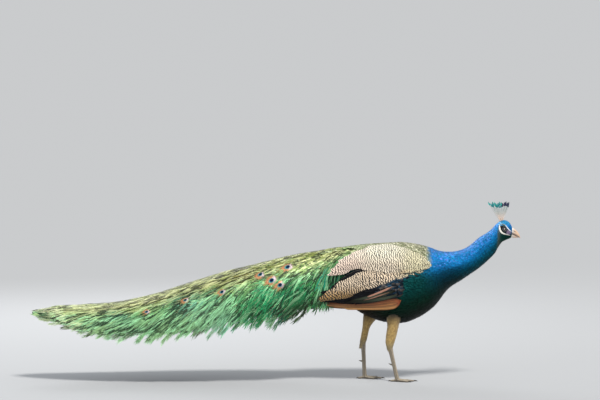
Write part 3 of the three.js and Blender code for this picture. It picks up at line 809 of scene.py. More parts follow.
def barred_feathers(name, nodes, outline, flow, length, spacing, sink, level, light, dark, share,
                    pitch=0.0086, edge=None):
    """Feathers crossed by wavy dark bars, each bar a band of its own that takes up a share of the
    pitch. An edge is a further row of roots, raised a little."""
    bands, cols, raised, sunk = 9, 6, 0.0032, 0.0032  # an edge's row is raised, and every root sunk
    coat = Coat()
    roots = lobe_roots(outline, spacing, flow, length)
    if edge is not None:
        roots = [np.concatenate(pair) for pair in zip(roots, edge)]
    place, angle, turn, size = roots
    n = len(place)
    turn = turn + RNG.normal(0, 0.05, n)
    size = size * RNG.uniform(0.9, 1.1, n)
    root = WING.at(place, angle)
    width = lobe_gap(spacing, place) * 1.9 * RNG.uniform(0.9, 1.1, n)
    width = width * (0.55 + 0.45 * smooth(0.004, 0.02, rim_distance(root, outline)))
    phase = (root[:, 0] / pitch + RNG.normal(0, 0.17, n)) % 1
    w = np.linspace(-1, 1, cols)[None]
    wave = 0.2 * np.sin(2.6 * w + RNG.uniform(0, 6, n)[:, None]) - 0.34 * w * w
    pale = light(root) * (1 + RNG.uniform(-0.1, 0.1, n))[:, None]
    rise = RNG.uniform(-0.0004, 0.0006, n)
    if edge is not None:
        rise[-len(edge[0]):] += raised
    across = np.broadcast_to(w[:, None], (n, 3, cols)).reshape(n, -1)
    deep = dark(root)
    for band in range(bands + 1):
        for start, stop, colour in ((band, band + 1 - share, pale), (band + 1 - share, band + 1, deep)):
            first, last = (np.clip((line - 1 + phase[:, None] + wave) * pitch / size[:, None], 0, 1)
                           for line in (start, stop))
            s = np.stack([first, (first + last) / 2, last], 1).reshape(n, -1)
            real = (last - first).mean(axis=1) > 0.01
            points, _, _ = feather_points(WING, place, angle, size, width, turn=turn, level=level, s=s,
                                          w=across, root=-sink - sunk, tip=-sink + rise)
            at = on_side(WING, points[:, :, 0].mean(axis=1), points[:, :, 2].mean(axis=1))
            tint = colour[:, None] * (0.8 + 0.25 * s)[..., None]
            coat.add(points[real], (3, cols), tint[real], unwrap(WING, *at)[real])
    coat.build_pair(name, PLAIN, "barred", nodes)


def side_feather(coat, line, widths, stand, colours, rows=26, cup=0.0005):
    """A long flight feather along a line of the side view, with its widths, how far it stands off the
    wing and its colours from the root to the tip."""
    cols = 7
    line = spline_of(line, rows)
    ahead = unit(np.gradient(line, axis=0))
    across = np.stack([-ahead[:, 1], ahead[:, 0]], -1)
    s, w = np.linspace(0, 1, rows), np.linspace(-1, 1, cols)
    half, rise = (np.interp(s, np.linspace(0, 1, len(v)), v)[:, None] * MM for v in (widths, stand))
    flat = line[:, None] + across[:, None] * (half / 2 * w)[..., None]
    place, angle = on_side(WING, flat[..., 0], flat[..., 1])
    # Painted shade along each edge, deepest along the upper edge where it meets the feather above.
    rim = 1 - 0.18 * np.abs(w) - 0.5 * smooth(0.45, 1.0, -w)
    tint = spline(np.array(colours), s * (len(colours) - 1))[:, None] * rim[None, :, None]
    tint = tint * (1 + 0.08 * np.sin(40 * s + 3 * w[:, None]).T)[..., None]
    middle = unwrap(WING, place[rows // 2, cols // 2], angle[rows // 2, cols // 2])
    coat.add(WING.at(place, angle, rise - cup * w * w), (rows, cols), tint, middle[None], cell=0.05)


def add_secondaries(level):
    """The dark secondaries under the barred coverts, blue at the shoulder, with four long ones."""
    coat = Coat()
    roots = lobe_roots(shrunk(COVERT_BED, 0.001), 0.0095,
                       lambda p: 0.16 + 0.2 * smooth(0.5, 0.25, p[:, 0]),
                       lambda x: 0.024 + 0.05 * smooth(0.5, 0.3, x))
    keep = WING.at(*roots[:2])[:, 0] < 0.548
    place, angle, turn, size = (v[keep] for v in roots)
    n = len(place)
    front = smooth(0.4, 0.49, WING.at(place, angle)[:, 0])
    turn = turn + RNG.normal(0, 0.08, n)
    tip = -0.0042 + RNG.uniform(-0.001, 0.001, n)
    dark = mix("121316", "22455c", front * RNG.uniform(0.0, 0.9, n))
    dark = np.where((front > 0.3)[:, None], varied(dark, 0.3, "5d544c", 0.55), dark)
    lay_feathers(coat, WING, place, angle, size, 0.019, turn, -0.0068, tip, (7, 5), dark,
                 lambda s, w: 0.7 + 0.7 * s - 0.3 * w * w, 0.3, level=level)
    ash, rose, pitch = tone("454c40"), tone("b88a76"), tone("14130f")
    for line, widths, stand, colours in (
        ([(462, 362), (410, 348), (350, 334), (290, 322)], (8, 15, 15, 6), (-3, -2, -2, -4),
         (pitch, ash, ash, pitch)),
        ([(470, 345), (420, 333), (350, 322), (270, 316)], (8, 14, 14, 5), (-3, -1.4, -1.6, -4),
         (ash * 0.6, ash * 1.1, ash * 0.5, pitch)),
        ([(448, 378), (430, 369), (400, 356), (365, 342), (352, 338)], (3, 8, 8, 7, 2),
         (-3, -1, -0.6, -1, -3), (rose * 0.6, rose, rose * 1.1, rose, rose * 0.5)),
        ([(440, 357), (405, 345), (370, 333), (340, 325)], (2, 4, 4, 2), (-2, -0.6, -0.6, -2),
         (rose * 0.4, rose * 0.8, rose * 0.7, rose * 0.3)),
    ):
        side_feather(coat, line, widths, stand, colours)
    coat.build_pair("secondaries", GLOSSY, "barred")


def add_saddle():
    """The scaly back in the groove between the wings."""
    coat = Coat()
    spacing, length, width, root = 0.0068, 0.023, 0.0108, -0.0125
    place, angle = WING.rows(0.3, 6.6, spacing, (-32, 32))
    roots = WING.at(place, angle)
    keep = ~in_outline(roots, shrunk(BARRED_SCAPULARS, 0.006)) & (roots[:, 2] > 0.47)
    thin = smooth(0.345, 0.3, roots[:, 0]) * smooth(6, 20, np.abs(np.degrees(angle)))
    keep &= RNG.random(len(place)) > thin
    place, angle, roots = place[keep], angle[keep], roots[keep]
    n = len(place)
    turn = RNG.normal(0, 0.1, n)
    tip = -0.0088 + RNG.uniform(-0.0006, 0.0008, n)
    tint = mix(mix(PALE_SCALE, DARK_SCALE, RNG.random(n) ** 1.3), mix("d4deae", "5f8440", RNG.random(n)),
               smooth(0.45, 0.28, roots[:, 0]))
    lay_feathers(coat, WING, place, angle, length, width, turn, root, tip, (5, 5), tint,
                 scale_light(1.2, 0.8, 0.5), 0.2, span=(-1, 7))
    coat.build("saddle_feathers", SCALY, "body")


def add_primaries():
    """The long rufous primaries, one under another."""
    coat = Coat()
    deep, pale, quills = tone("b04c12"), tone("c68f50"), 6
    for i in range(quills):
        f = i / (quills - 1)
        line = [(486 - 10 * f, 317 - 11 * f), (455, 321 - 27 * f), (400, 311 - 22 * f),
                (330, 301 - 13 * f), (262 + 20 * f, 300 - 13 * f), (172 + 95 * f, 298 - 8 * f)]
        light = 0.92 if i % 2 else 0.58
        top, end = mix(deep, pale, 0.25 + 0.6 * f) * light, mix("a86a34", pale, f) * light
        rise = -10.6 + 4.2 * f
        side_feather(coat, line, (8, 12, 10, 9, 9, 3), (rise - 3, rise, rise, rise, rise - 1),
                     (deep * (1 - 0.5 * f), top, top, mix(top, end, 0.5), end, end * 0.8), 34, 0.0003)
    coat.build_pair("rufous_primaries", FLIGHT, "rufous", ["primaries"])


def add_wings():
    upper = pillow_level(BARRED_SCAPULARS, 0.008, 0.03)
    lower = pillow_level(WING_COVERTS, 0.007, 0.028)
    quill = pillow_level(PRIMARIES, 0.003, 0.012)
    lobe_underlay("scapular_bed", shrunk(BARRED_SCAPULARS, 0.006), ((550, 480), (270, 462)), 0.0, upper,
                  CREAM * 0.6)
    lobe_underlay("covert_bed", COVERT_BED, ((500, 405), (230, 345)), 0.003, lower, UMBER * 0.3)
    lobe_underlay("quill_bed", shrunk(PRIMARIES, 0.008), ((470, 309), (200, 295)), 0.0125, quill,
                  tone("7a4420"))
    add_secondaries(lower)

    def lower_light(p):
        light = mix("e8d2b6", "ddd0ac", smooth(0.46, 0.54, p[:, 0]))
        return mix(light, "b0884c", smooth(0.41, 0.35, p[:, 2]) * smooth(0.44, 0.34, p[:, 0]))

    def upper_light(p):
        x, z = p[:, 0], p[:, 2]
        return layered(mix("e6d6bf", "f3eed8", smooth(0.46, 0.52, z)),
                       ("c9a274", smooth(0.452, 0.44, z) * smooth(0.48, 0.52, x) * 0.8),
                       ("f0d3c4", smooth(0.42, 0.33, x) * 0.6), ("e2dcb4", smooth(0.47, 0.56, x) * 0.8))

    barred_feathers("barred_coverts", ["wing_coverts"], BARRED_COVERTS,
                    lambda p: 0.26 + 0.2 * smooth(0.5, 0.22, p[:, 0]),
                    lambda x: 0.016 + 0.042 * smooth(0.58, 0.28, x), 0.0115, 0.002, lower, lower_light,
                    lambda p: BAR * (1 - 0.5 * smooth(0.4, 0.3, p[:, :1])), 0.54, pitch=0.0092)
    lower_edge = [(600, 457.5), (578, 452), (552, 445.5), (528, 441), (508, 439)]
    barred_feathers("barred_scapulars", ["scapulars"], BARRED_SCAPULARS,
                    lambda p: 0.1 + 0.1 * smooth(0.45, 0.54, p[:, 2]),
                    lambda x: 0.013 + 0.041 * smooth(0.62, 0.3, x), 0.011, -0.0008, upper, upper_light,
                    lambda p: mix(BAR, "39331c", smooth(0.44, 0.56, p[:, 0])), 0.39,
                    edge=edge_roots(lower_edge, 0.0042, 0.019))
    add_saddle()
    add_primaries()


# ---------------------------------------------------------------- train

def patches(place, angle, seed):
    """A soft irregular field over the train, from 0 to 1."""
    rng = np.random.default_rng(seed)
    total = 0
    for _ in range(7):
        a, b, c = rng.uniform(1.0, 4.2), rng.uniform(1.5, 6), rng.uniform(0, 6.3)
        total = total + np.sin(a * place + b * angle + c)
    return 0.5 + 0.5 * np.tanh(total / 2.6)


def lowness(angle):
    """0 on the train's ridge, 1 at its lower edges."""
    return np.abs(angle) / QUARTER


def train_tone(place, angle):
    """The train's colour: gold green along the ridge, emerald and turquoise down its flanks."""
    low = np.clip(lowness(angle), 0, 1.3)
    field, other = patches(place, angle, 3), patches(place * 1.7, angle * 1.3, 8)
    ridge = mix(GOLD_GREEN, LIME, 0.25 * other + smooth(4, 6.5, place) * 0.45)
    flank = layered(EMERALD, (TURQUOISE, smooth(0.55, 0.95, field) * 0.8),
                    (LEAF, smooth(0.6, 0.95, other) * 0.6))
    return layered(
        ridge, (flank, smooth(0.3, 0.62, low + 0.16 * (field - 0.5))),
        # Painted shade: dark olive low on the train near its root, under the wing tips.
        ("2c3a18", smooth(0.72, 1.0, low) * smooth(4.0, 2.6, place) * 0.85),
        # Painted light: paler green low on the middle of the train.
        ("aad89c", smooth(3.6, 5.6, place) * smooth(0.35, 0.8, low) * 0.7),
        (mix("bedc8c", "dfe8bc", other), smooth(7.6, 9.6, place) * 0.85),
        ("2f6b33", smooth(1.3, 0.2, place) * smooth(0.55, 0.25, low) * 0.5))


def under_wing(place, low):
    """How far the flank plumes stand off to fill the hollow behind the wing tips."""
    return 0.007 * smooth(2.0, 2.8, place) * smooth(4.4, 3.2, place) * smooth(0.35, 0.6, low)


def hanging_room(place, angle):
    """The longest that a feather may be before it would hang out under the folded wing."""
    wing_foot, steepness, shortest = 0.3, 0.8, 0.006
    roots = TRAIN.at(place, angle)
    free = smooth(0.16, 0.04, roots[:, 0])
    return np.maximum((roots[:, 2] - wing_foot) / steepness, shortest) + free * 0.2


def ridge_x(count):
    """Places along the train's ridge and their x."""
    fine = np.linspace(0, TRAIN.last, count)
    return fine, TRAIN.at(fine, 0 * fine)[:, 0]


def place_room(place):
    """How much of the train is left behind a place."""
    fine, x = ridge_x(200)
    return np.interp(place, fine, x) - x[-1]


def add_train_bed():
    """The shell of down and quills that the plumes lie on."""
    rings, half = 90, 22
    place = np.linspace(0.05, 10.92, rings)[:, None]
    turns = np.linspace(-1, 1, half) * QUARTER * 0.97
    upper, lower = -0.006, -0.0095  # how far its two sides stand off the train's form
    outer, inner = TRAIN.at(place, turns[None], upper), TRAIN.at(place, turns[None, ::-1], lower)
    bed = mix("4c5a28", "1b4a2c", smooth(0.5, 1.2, np.abs(turns)[None] + 0 * place)) * 0.7
    tint = np.concatenate([bed, np.broadcast_to(tone("3b3327") * 0.6, bed.shape)], axis=1)
    add_piece("train_bed", np.concatenate([outer, inner], axis=1), grid_faces(rings, 2 * half, wrap=True),
              tint, SKIN, "train")


def bent(heading):
    """Steps ahead and aside along barbs of length 1 with the given headings at their points."""
    mid = (heading[..., 1:] + heading[..., :-1]) / 2
    pad = np.zeros(mid.shape[:-1] + (1,))
    return [np.concatenate([pad, np.cumsum(part(mid), axis=-1)], axis=-1) / mid.shape[-1]
            for part in (np.cos, np.sin)]


def ribbons(coat, ahead, aside, thick, lie, stand, tint, bake):
    """Thin tapering barbs. Their middle lines are steps ahead and aside, (roots, barbs, points)."""
    n, barbs, count = ahead.shape
    t = np.linspace(0, 1, count)
    da, db = np.gradient(ahead, axis=-1), np.gradient(aside, axis=-1)
    size = np.maximum(np.hypot(da, db), 1e-9)
    half = thick / 2 * (1 - 0.85 * t ** 1.6) * (0.55 + 0.45 * smooth(0, 0.25, t))
    ahead = np.stack([ahead - db / size * half, ahead + db / size * half], -1)
    aside = np.stack([aside + da / size * half, aside - da / size * half], -1)
    points = lie.at(ahead, aside, np.broadcast_to(stand[..., None], ahead.shape))
    colours = np.repeat(tint.reshape(n * barbs, count, 1, 3), 2, axis=2)
    coat.add(points.reshape(-1, count * 2, 3), (count, 2), colours, bake.reshape(-1, 2))


def add_plumes(coat, place, angle, length, barb, turn, tint, barbs, spread, curl, swell):
    """Loose feathers, with barbs on both sides of each shaft that bend back towards its tip."""
    n = len(place)
    root, tip, ragged, segs, shaft_points = -0.006, -0.001, 0.0035, 3, 8
    barb_width, shaft_width = 0.0024, 0.0016
    k = np.arange(barbs)
    start = (k // 2 * 2 + 1) / barbs * 0.96 + RNG.uniform(-0.5, 0.5, (n, barbs)) / barbs
    start = np.clip(start, 0.01, 0.99)
    side = np.where(k % 2, 1.0, -1.0)
    reach = barb[:, None] * (0.45 + 0.55 * np.sin(math.pi * start ** 0.7))
    reach = reach * RNG.uniform(0.7, 1.2, (n, barbs))
    t = np.linspace(0, 1, segs + 1)
    run, rise = bent(spread[:, None, None] * (1 - 0.75 * t) * RNG.uniform(0.6, 1.2, (n, barbs, 1)))
    swell, curl, far = swell[:, None, None], curl[:, None, None], length[:, None, None]
    roots = start * length[:, None]
    ahead = roots[..., None] + reach[..., None] * run
    aside = side[:, None] * reach[..., None] * rise + curl * ahead ** 2
    lift = root + (tip - root) * (ahead / far).clip(0, 1) ** 0.6 + swell
    stand = lift + ragged * RNG.uniform(-0.3, 1, (n, barbs, 1)) * t
    bright = (1 + RNG.uniform(-0.5, 0.5, (n, barbs, 1, 1))) * (0.5 + 0.65 * t)[None, None, :, None]
    lie = Lie(TRAIN, place, angle, turn)
    bake = unwrap(TRAIN, *lie.on_form(roots)) + np.stack([0 * roots, side * 0.004 + 0 * roots], -1)
    ribbons(coat, ahead, aside, barb_width, lie, stand, tint[:, None, None, :] * bright, bake)
    # The shafts.
    t = np.linspace(0, 1, shaft_points)
    ahead = (length[:, None] * t)[:, None]
    stand = root + (tip - root) * t ** 0.6 + 0.0006 + 0 * ahead + swell
    shaft = mix(tint, "d9d3a8", 0.45)[:, None, None, :] * np.ones((1, 1, shaft_points, 1))
    ribbons(coat, ahead, curl * ahead ** 2, shaft_width, lie, stand, shaft,
            unwrap(TRAIN, place, angle)[:, None])


def add_train_plumes():
    """Loose plumes over the whole length, in overlapping rows from the tip to the root."""
    for node, start, end, barbs in (("tip", 10.6, 6.8, 22), ("middle", 6.8, 3.4, 24),
                                    ("root", 3.4, 0.5, 24)):
        coat = Coat()
        place, angle = TRAIN.rows(start, end, 0.024, (-88, 88), step=0.95)
        n = len(place)
        low = lowness(angle)
        turn = 0.02 + 0.62 * smooth(0.3, 1.0, low) * smooth(10.5, 7.5, place) + RNG.normal(0, 0.08, n)
        turn = turn * np.where(low < 0.15, 0.3, 1)
        length = RNG.uniform(0.07, 0.105, n) * (0.75 + 0.25 * smooth(10.8, 9, place))
        length = length * (1 - 0.35 * smooth(0.75, 1.0, low))
        length = np.clip(place_room(place) - 0.012, 0.012, length)
        length = np.minimum(length, hanging_room(place, angle))
        tint = train_tone(place, angle)
        ridge = smooth(0.5, 0.2, low)
        # Some plumes are darkened as painted shade in the gaps between them.
        dark = RNG.random(n) < 0.3 + 0.18 * ridge - 0.2 * smooth(0.75, 0.95, low)
        tint = np.where(dark[:, None], mix(tint, "202a10", 0.85), tint)
        tint = np.where((ridge > 0.5)[:, None], varied(tint, 0.10, "b08a3c", 0.5), tint)
        # Some plumes are paled as painted highlights.
        tint = varied(tint, 0.2, mix("8ecb93", "e6e9b6", ridge), 0.7)
        tint = tint * (1 + RNG.uniform(-0.4, 0.4, n))[:, None]
        add_plumes(coat, place, angle, length, 0.032 - 0.014 * ridge, turn, tint, barbs,
                   spread=0.75 - 0.35 * ridge - 0.35 * smooth(0.7, 0.92, low),
                   curl=RNG.normal(0.3, 0.6, n), swell=under_wing(place, low))
        coat.build(f"train_plumes_{node}", LOOSE, "train", [f"train_{node}"])


def add_strands():
    """Locks of long loose barbs, along the ridge and hanging down the train's flanks."""
    coat = Coat()
    locks, each, count = 2200, 3, 7
    apart, thick = 0.0022, 0.0022
    t = np.linspace(0, 1, count)
    across = (np.arange(each) - (each - 1) / 2)[None, :, None]
    for way in (1, -1):
        place = RNG.uniform(0.6, 9.9, locks)
        along = RNG.random(locks) < 0.2
        low = np.where(along, RNG.uniform(-0.1, 0.16, locks), RNG.uniform(0.05, 0.97, locks))
        angle = way * low * math.pi / 2
        flank = smooth(0.3, 0.6, low)
        room = TRAIN.at(place, angle)[:, 2] - TRAIN.at(place, way * QUARTER)[:, 2]
        length = RNG.uniform(0.04, 0.075, locks) + flank * RNG.uniform(0, 0.05, locks)
        length = np.minimum(length, room * 1.25 + 0.014) * smooth(10.6, 8.8, place).clip(0.4, 1)
        length = np.minimum(length, hanging_room(place, angle))
        keep = length > 0.018
        place, angle, low, flank, length, along = (
            v[keep] for v in (place, angle, low, flank, length, along))
        n = len(place)
        # The barbs' headings turn downwards from begin to end, most near the bird.
        near = smooth(7.5, 3.0, place)
        begin = (RNG.uniform(0.02, 0.25, n) * np.where(along, 0.3, 1)
                 + flank * RNG.uniform(0.1, 0.35, n) * (1 + 0.5 * near))
        end = begin + np.where(along, 0.0, 0.1) + flank * RNG.uniform(0.25, 0.8, n) * (0.35 + 0.65 * near)
        run, rise = bent(begin[:, None] + (end - begin)[:, None] * t)
        size = length[:, None, None] * RNG.uniform(0.82, 1.1, (n, each, 1))
        ahead = run[:, None] * size + RNG.uniform(-0.003, 0.003, (n, each, 1))
        aside = rise[:, None] * size
        aside = aside + across * apart * (1 - 0.4 * t) * RNG.uniform(0.6, 1.3, (n, each, 1))
        aside = aside + size * RNG.uniform(-0.1, 0.1, (n, each, 1)) * t * t
        stand = -0.002 + 0.0055 * RNG.uniform(0.15, 1, (n, 1, 1)) * np.sin(math.pi * t ** 0.8)
        stand = stand - 0.0003 * across ** 2 + under_wing(place, low)[:, None, None]
        tint = train_tone(place, angle)
        kind = RNG.random(n)
        # Painted shade and highlights: about a third of the locks are darkened as shaded gaps between barbs,
        # and some paled to a shine.
        gap, shine = mix("2a2c12", "0a2c1a", flank), mix("dfe3a6", "9fe0a8", flank)
        tint = np.where((kind < 0.34)[:, None], mix(tint, gap, 0.88), tint)
        tint = np.where((kind > 0.7)[:, None], mix(tint, shine, 0.7), tint)
        colours = tint[:, None, None, :] * (0.65 + 0.55 * t)[None, None, :, None]
        colours = colours * (1 + RNG.uniform(-0.4, 0.4, (n, each, 1, 1)))
        # The hanging barbs darken towards their tips close behind the legs: painted shade under the wing
        # tips.
        per = np.linalg.norm(TRAIN.axes(place, angle)[1], axis=1)[:, None, None] * math.pi / 2
        hanging_shade = smooth(0.7, 1.05, low[:, None, None] + aside / per) * smooth(4.4, 3.0, place)[:, None, None]
        bake = unwrap(TRAIN, place, angle)[:, None] + across * [0.0, 0.0006]
        ribbons(coat, ahead, aside, thick, Lie(TRAIN, place, angle), stand,
                mix(colours, "20240e", hanging_shade * 0.85), bake)
    coat.build("train_strands", LOOSE, "train")


# The train's eye spots: x and z of the side view and radius in millimetres, and the tilt.
EYES = [(46, 449, 23, 0.3), (-16, 399, 23, 0.5), (17, 383, 20, 0.4), (-60, 421, 20, 0.4),
        (-208, 357, 17, 0.3)]
MORE_EYES = [(-350, 325, 15, 0.2), (-500, 280, 14, 0.2), (120, 470, 18, 0.3)]
RIDGE_EYES = [(-120, 17), (-270, 17), (30, 17), (-420, 15)]
RINGS = (0.02, 0.14, 0.24, 0.29, 0.36, 0.5, 0.72, 0.88, 1.0)
BANDS = np.array([tone(code) * gain for code, gain in (
    ("090b24", 1), ("090b24", 1), ("14265c", 1), ("14265c", 0.8), ("2f9a94", 1), ("c08a62", 1),
    ("c08a62", 1.05), ("ab8258", 1), ("93955c", 1))])


def ringed(share, turn):
    """The colour at a share of an eye spot's radius, in the direction turn from its tip."""
    colour = spline(BANDS, np.interp(share, RINGS, np.arange(len(RINGS))))
    # A pale lavender arc on the side towards the head is a painted highlight.
    front = smooth(-0.05, -0.75, np.cos(turn + 0.5)) * smooth(0.34, 0.46, share) * smooth(1.1, 0.8, share)
    return mix(colour, "b4b2c4", front * 0.7)


def add_eye_spots():
    """Ringed discs, each with a fringe of barbs that carry its rings on."""
    coat, fringe = Coat(), Coat()
    # A spot's proportions, how far its pupil sits back, how far its middle stands off the train, how
    # much lower its rim lies, and the width of its fringe's barbs.
    long, wide, egg, drop, crown, fall, barb = 1.15, 0.82, 0.14, 0.1, 0.0026, 0.004, 0.0016
    spots = [spot + (1,) for spot in EYES + MORE_EYES[:2]]
    spots += [(x - 23, z + 9, radius, tilt, -1) for x, z, radius, tilt in EYES + MORE_EYES]
    spots += [(x, 0, radius, 0.0, 0) for x, radius in RIDGE_EYES]
    sides = 28
    fine, ridge = ridge_x(300)
    for x, z, radius, tilt, side in spots:
        radius = radius * MM
        if side == 0:
            place = np.array([np.interp(-x * MM, -ridge, fine)])
            angle = np.array([RNG.uniform(-0.25, 0.25)])
        else:
            place, angle = on_side(TRAIN, np.array([x * MM]), np.array([z * MM]))
            angle = angle * side
        lie = Lie(TRAIN, place, angle, tilt)
        bake = unwrap(TRAIN, place, angle)
        swell = under_wing(place, lowness(angle)) + (0.0008 if side else -0.0022)
        r = np.array(RINGS)[None, :, None] * np.ones((1, 1, sides + 1))
        around = np.linspace(0, TURN, sides + 1)[None, None] + 0 * r
        ragged = 1 + 0.13 * np.sin(5 * around + x) * smooth(0.4, 1, r)
        reach = r * radius * ragged * (1 + egg * np.cos(around))
        ahead = reach * np.cos(around) * long - np.where(r < 0.4, drop * radius, 0)
        points = lie.at(ahead, reach * np.sin(around) * wide, swell + crown - fall * r ** 2)
        tint = ringed(r, around) * (0.8 + 0.16 * np.sin(17 * around + 2 * np.sin(9 * r)))[..., None]
        coat.add(points, (len(RINGS), sides + 1), tint, bake, cell=0.03)
        # Every third barb starts near the rim. The outer ends turn bronze and green.
        n, count = 150, 5
        turn = RNG.uniform(0, TURN, n)[:, None]
        t = np.linspace(0, 1, count)[None]
        first = np.where(np.arange(n) % 3, RNG.uniform(0.42, 0.75, n), RNG.uniform(0.8, 1.0, n))[:, None]
        share = first + RNG.uniform(0.35, 0.6, (n, 1)) * t
        reach = share * radius * (1 + egg * np.cos(turn))
        ahead = reach * np.cos(turn) * long + drop * radius * t * t
        stand = swell + 0.0034 - 0.0036 * share + 0.0006 * RNG.uniform(-1, 1, (n, 1))
        outer = mix("b98f55", "7fa557", RNG.random(n))[:, None]
        colour = mix(ringed(np.minimum(share, 1), turn + 0 * t), outer, smooth(0.95, 1.25, share))
        colour = colour * RNG.uniform(0.6, 1.15, (n, 1, 1))
        ribbons(fringe, ahead[None], (reach * np.sin(turn) * wide)[None], barb, lie, stand[None], colour,
                np.broadcast_to(bake[:, None], (1, n, 2)))
    coat.build("train_eye_spots", GLOSSY, "train")
    fringe.build("train_eye_fringes", LOOSE, "train")


def add_ridge_scales():
    """Small gilded feathers where the back runs into the train."""
    coat = Coat()
    place, angle = TRAIN.rows(3.8, -0.5, 0.0075, (-64, 64))
    low = lowness(angle)
    thin = np.maximum(smooth(1.4, 3.8, place) * 0.8, smooth(0.5, -0.5, place) * 0.7)
    keep = RNG.random(len(place)) > np.maximum(thin, smooth(0.38, 0.7, low) * 0.95)
    place, angle, low = place[keep], angle[keep], low[keep]
    n = len(place)
    size = 0.0072 * (1.1 + 0.45 * smooth(0, 3, place))
    turn = 0.1 + 0.3 * smooth(0.1, 0.6, low) + RNG.normal(0, 0.08, n)
    tip = (0.0015 + RNG.uniform(-0.001, 0.001, n) - 0.005 * smooth(0.6, -0.5, place)
           - 0.003 * smooth(0.35, 0.6, low))
    tint = layered("7c9c4a", ("c4d29a", RNG.random(n)), (BRONZE, smooth(0.9, -0.3, place) * 0.5),
                   ("1f8a4c", smooth(0.25, 0.6, low) * 0.8))
    tint = varied(tint, 0.26, "26401a", 0.75)
    lay_feathers(coat, TRAIN, place, angle, size * 3.6, size * 1.5, turn, -0.006, tip, (5, 5), tint,
                 scale_light(1.12, 0.55, 0.55), 0.15)
    coat.build("train_scales", SCALY, "train")


def add_shafts():
    """Long pale shafts and dark barb locks lying along the train."""
    coat = Coat()
    shafts, count, lock_width, shaft_width = 330, 26, 0.0022, 0.0013
    t = np.linspace(0, 1, count)
    for i in range(shafts):
        dark = RNG.random() < 0.5
        begin = RNG.uniform(0.9, 8.8)
        end = min(begin + (RNG.uniform(0.4, 1.1) if dark else RNG.uniform(1.2, 3.0)), 10.95)
        side = RNG.choice((-1, 1))
        first = side * math.radians(RNG.uniform(0, 52))
        last = first + side * RNG.uniform(0.02, 0.3)
        place = begin + (end - begin) * t
        angle = first + (last - first) * t + 0.02 * np.sin(9 * t + i)
        lift = -0.003 + 0.0045 * np.sin(math.pi * np.clip(t * 1.05, 0, 1)) * RNG.uniform(0.5, 1)
        half = (lock_width if dark else shaft_width) * (1 - 0.7 * t) * (0.4 + 0.6 * smooth(0, 0.3, t))
        half = half / np.linalg.norm(TRAIN.axes(place, angle)[1], axis=1)
        pair = np.stack([TRAIN.at(place, angle - half, lift), TRAIN.at(place, angle + half, lift)], 1)
        tint = tone("252a12") if dark else mix(LIME, "dfdcae", RNG.random())
        tint = mix(tint, "2f9a52", smooth(0.5, 1.0, abs(first)) * 0.5)
        coat.add(pair, (count, 2), tint, unwrap(TRAIN, place[:1], angle[:1]))
    coat.build("train_shafts", LOOSE, "train")


def add_tail():
    """The brown tail feathers under the root of the train, and the bed that they lie on."""
    coat = Coat()
    feathers, rows, cols, half_width = 20, 26, 5, 0.0085
    middle = (feathers - 1) / 2
    t, w = np.linspace(0, 1, rows)[:, None], np.linspace(-1, 1, cols)[None]
    for i in range(feathers):
        share = (i - middle) / middle
        reach = 4.95 - 0.5 * abs(share) ** 2
        row = spline(TAIL.table, (0.05 + (reach - 0.05) * t)[:, 0])
        half = half_width * (0.7 + 0.5 * smooth(0, 0.4, t))
        half = half * np.sqrt(np.clip(1.02 - smooth(0.86, 1.0, t) * 0.9, 0, 1))
        y = share * (row[:, 4] - 0.009)[:, None] + half * w
        depth = 0.25 + 0.5 * (1 - abs(share))
        top, low = row[:, 1:2], row[:, 3:4]
        z = low + (top - low) * depth - 0.0006 * (w * w) + 0.0004 * (i % 2)
        tint = mix("5a4631", "2d241a", 0.5 + 0.4 * np.sin(38 * t + i) + 0 * w)
        coat.add(np.stack([np.broadcast_to(row[:, :1], y.shape), y, z], -1), (rows, cols),
                 tint * (1 - 0.2 * np.abs(w))[..., None], np.array([[0.03 + 0.047 * i, 0.5]]), cell=0.04)
    coat.build("tail_feathers", FLIGHT, "tail", ["tail"])
    points = TAIL.at(np.linspace(0.02, 4.6, 40)[:, None], ring(28, -math.pi)[None], -0.0035)
    add_piece("tail_bed", points, grid_faces(40, 28, wrap=True), UMBER * 0.5, SKIN, "tail")


# ---------------------------------------------------------------- legs

# The hock and the ankle, x and z of the side view, in millimetres.
HOCKS = {"right": ((446, 136), (474, 14)), "left": ((344, 144), (350, 14))}
# Shares of the way down a shank, with the half width along the bird and across it.
SHANK_SHAPE = np.array([(0, 10.5, 8.5), (0.1, 9.8, 7.8), (0.25, 8.2, 6.2), (0.7, 7.5, 5.7),
                        (0.92, 8.3, 7), (1.03, 8.5, 7.5)])
TOES = {"inner": (46, 33, 13), "middle": (66, 2, 15), "outer": (50, -30, 13), "hind": (25, 172, 10)}
SPUR_LENGTH, SPUR_RADIUS, SPUR_PLACE = 20 * MM, 4 * MM, 0.58
SCUTES = 22  # down the front of a shank
TOE_SCUTE, TOE_SCALE = 0.0052, 0.0031  # the length of a scute, and of a scale over 2 pi
LEG_TONE, LEG_DARK = tone("9a8f7d"), tone("5d5448")


def add_thigh_feathers():
    coat = Coat()
    spacing = lambda p: (6.4 - 0.62 * p) * MM
    for form in THIGHS.values():
        place, angle = form.rows(0.35, 4.95, spacing, step=0.75)
        n = len(place)
        size = spacing(place)
        reach = 3.0 + 1.5 * smooth(2.6, 4.6, place)
        length = size * reach * RNG.uniform(0.85, 1.15, n)
        turn = RNG.normal(0, 0.12, n)
        tip = RNG.uniform(-0.0006, 0.0006, n) + 0.0014 * smooth(1.5, 4.2, place)
        # Dark brown towards the top of each thigh, where it goes in under the body, is painted shade.
        tint = layered("c4a565", ("9c7d46", RNG.random(n)), ("8d8367", smooth(3.0, 4.6, place) * 0.7),
                       ("2c2419", smooth(0.225, 0.285, form.at(place, angle)[:, 2])))
        # Each thigh has its half of the unwrap.
        lay_feathers(coat, form, place, angle, length, size * 1.45, turn, -0.0042 + 0.0005 * place, tip,
                     (5, 3), tint, lambda s, w: 0.75 + 0.4 * s - 0.12 * w * w, 0.14,
                     patch=([1, 0.5], [0, 0.5 * (form.y > 0)]))
    coat.build("thigh_feathers", PLAIN, "thigh")


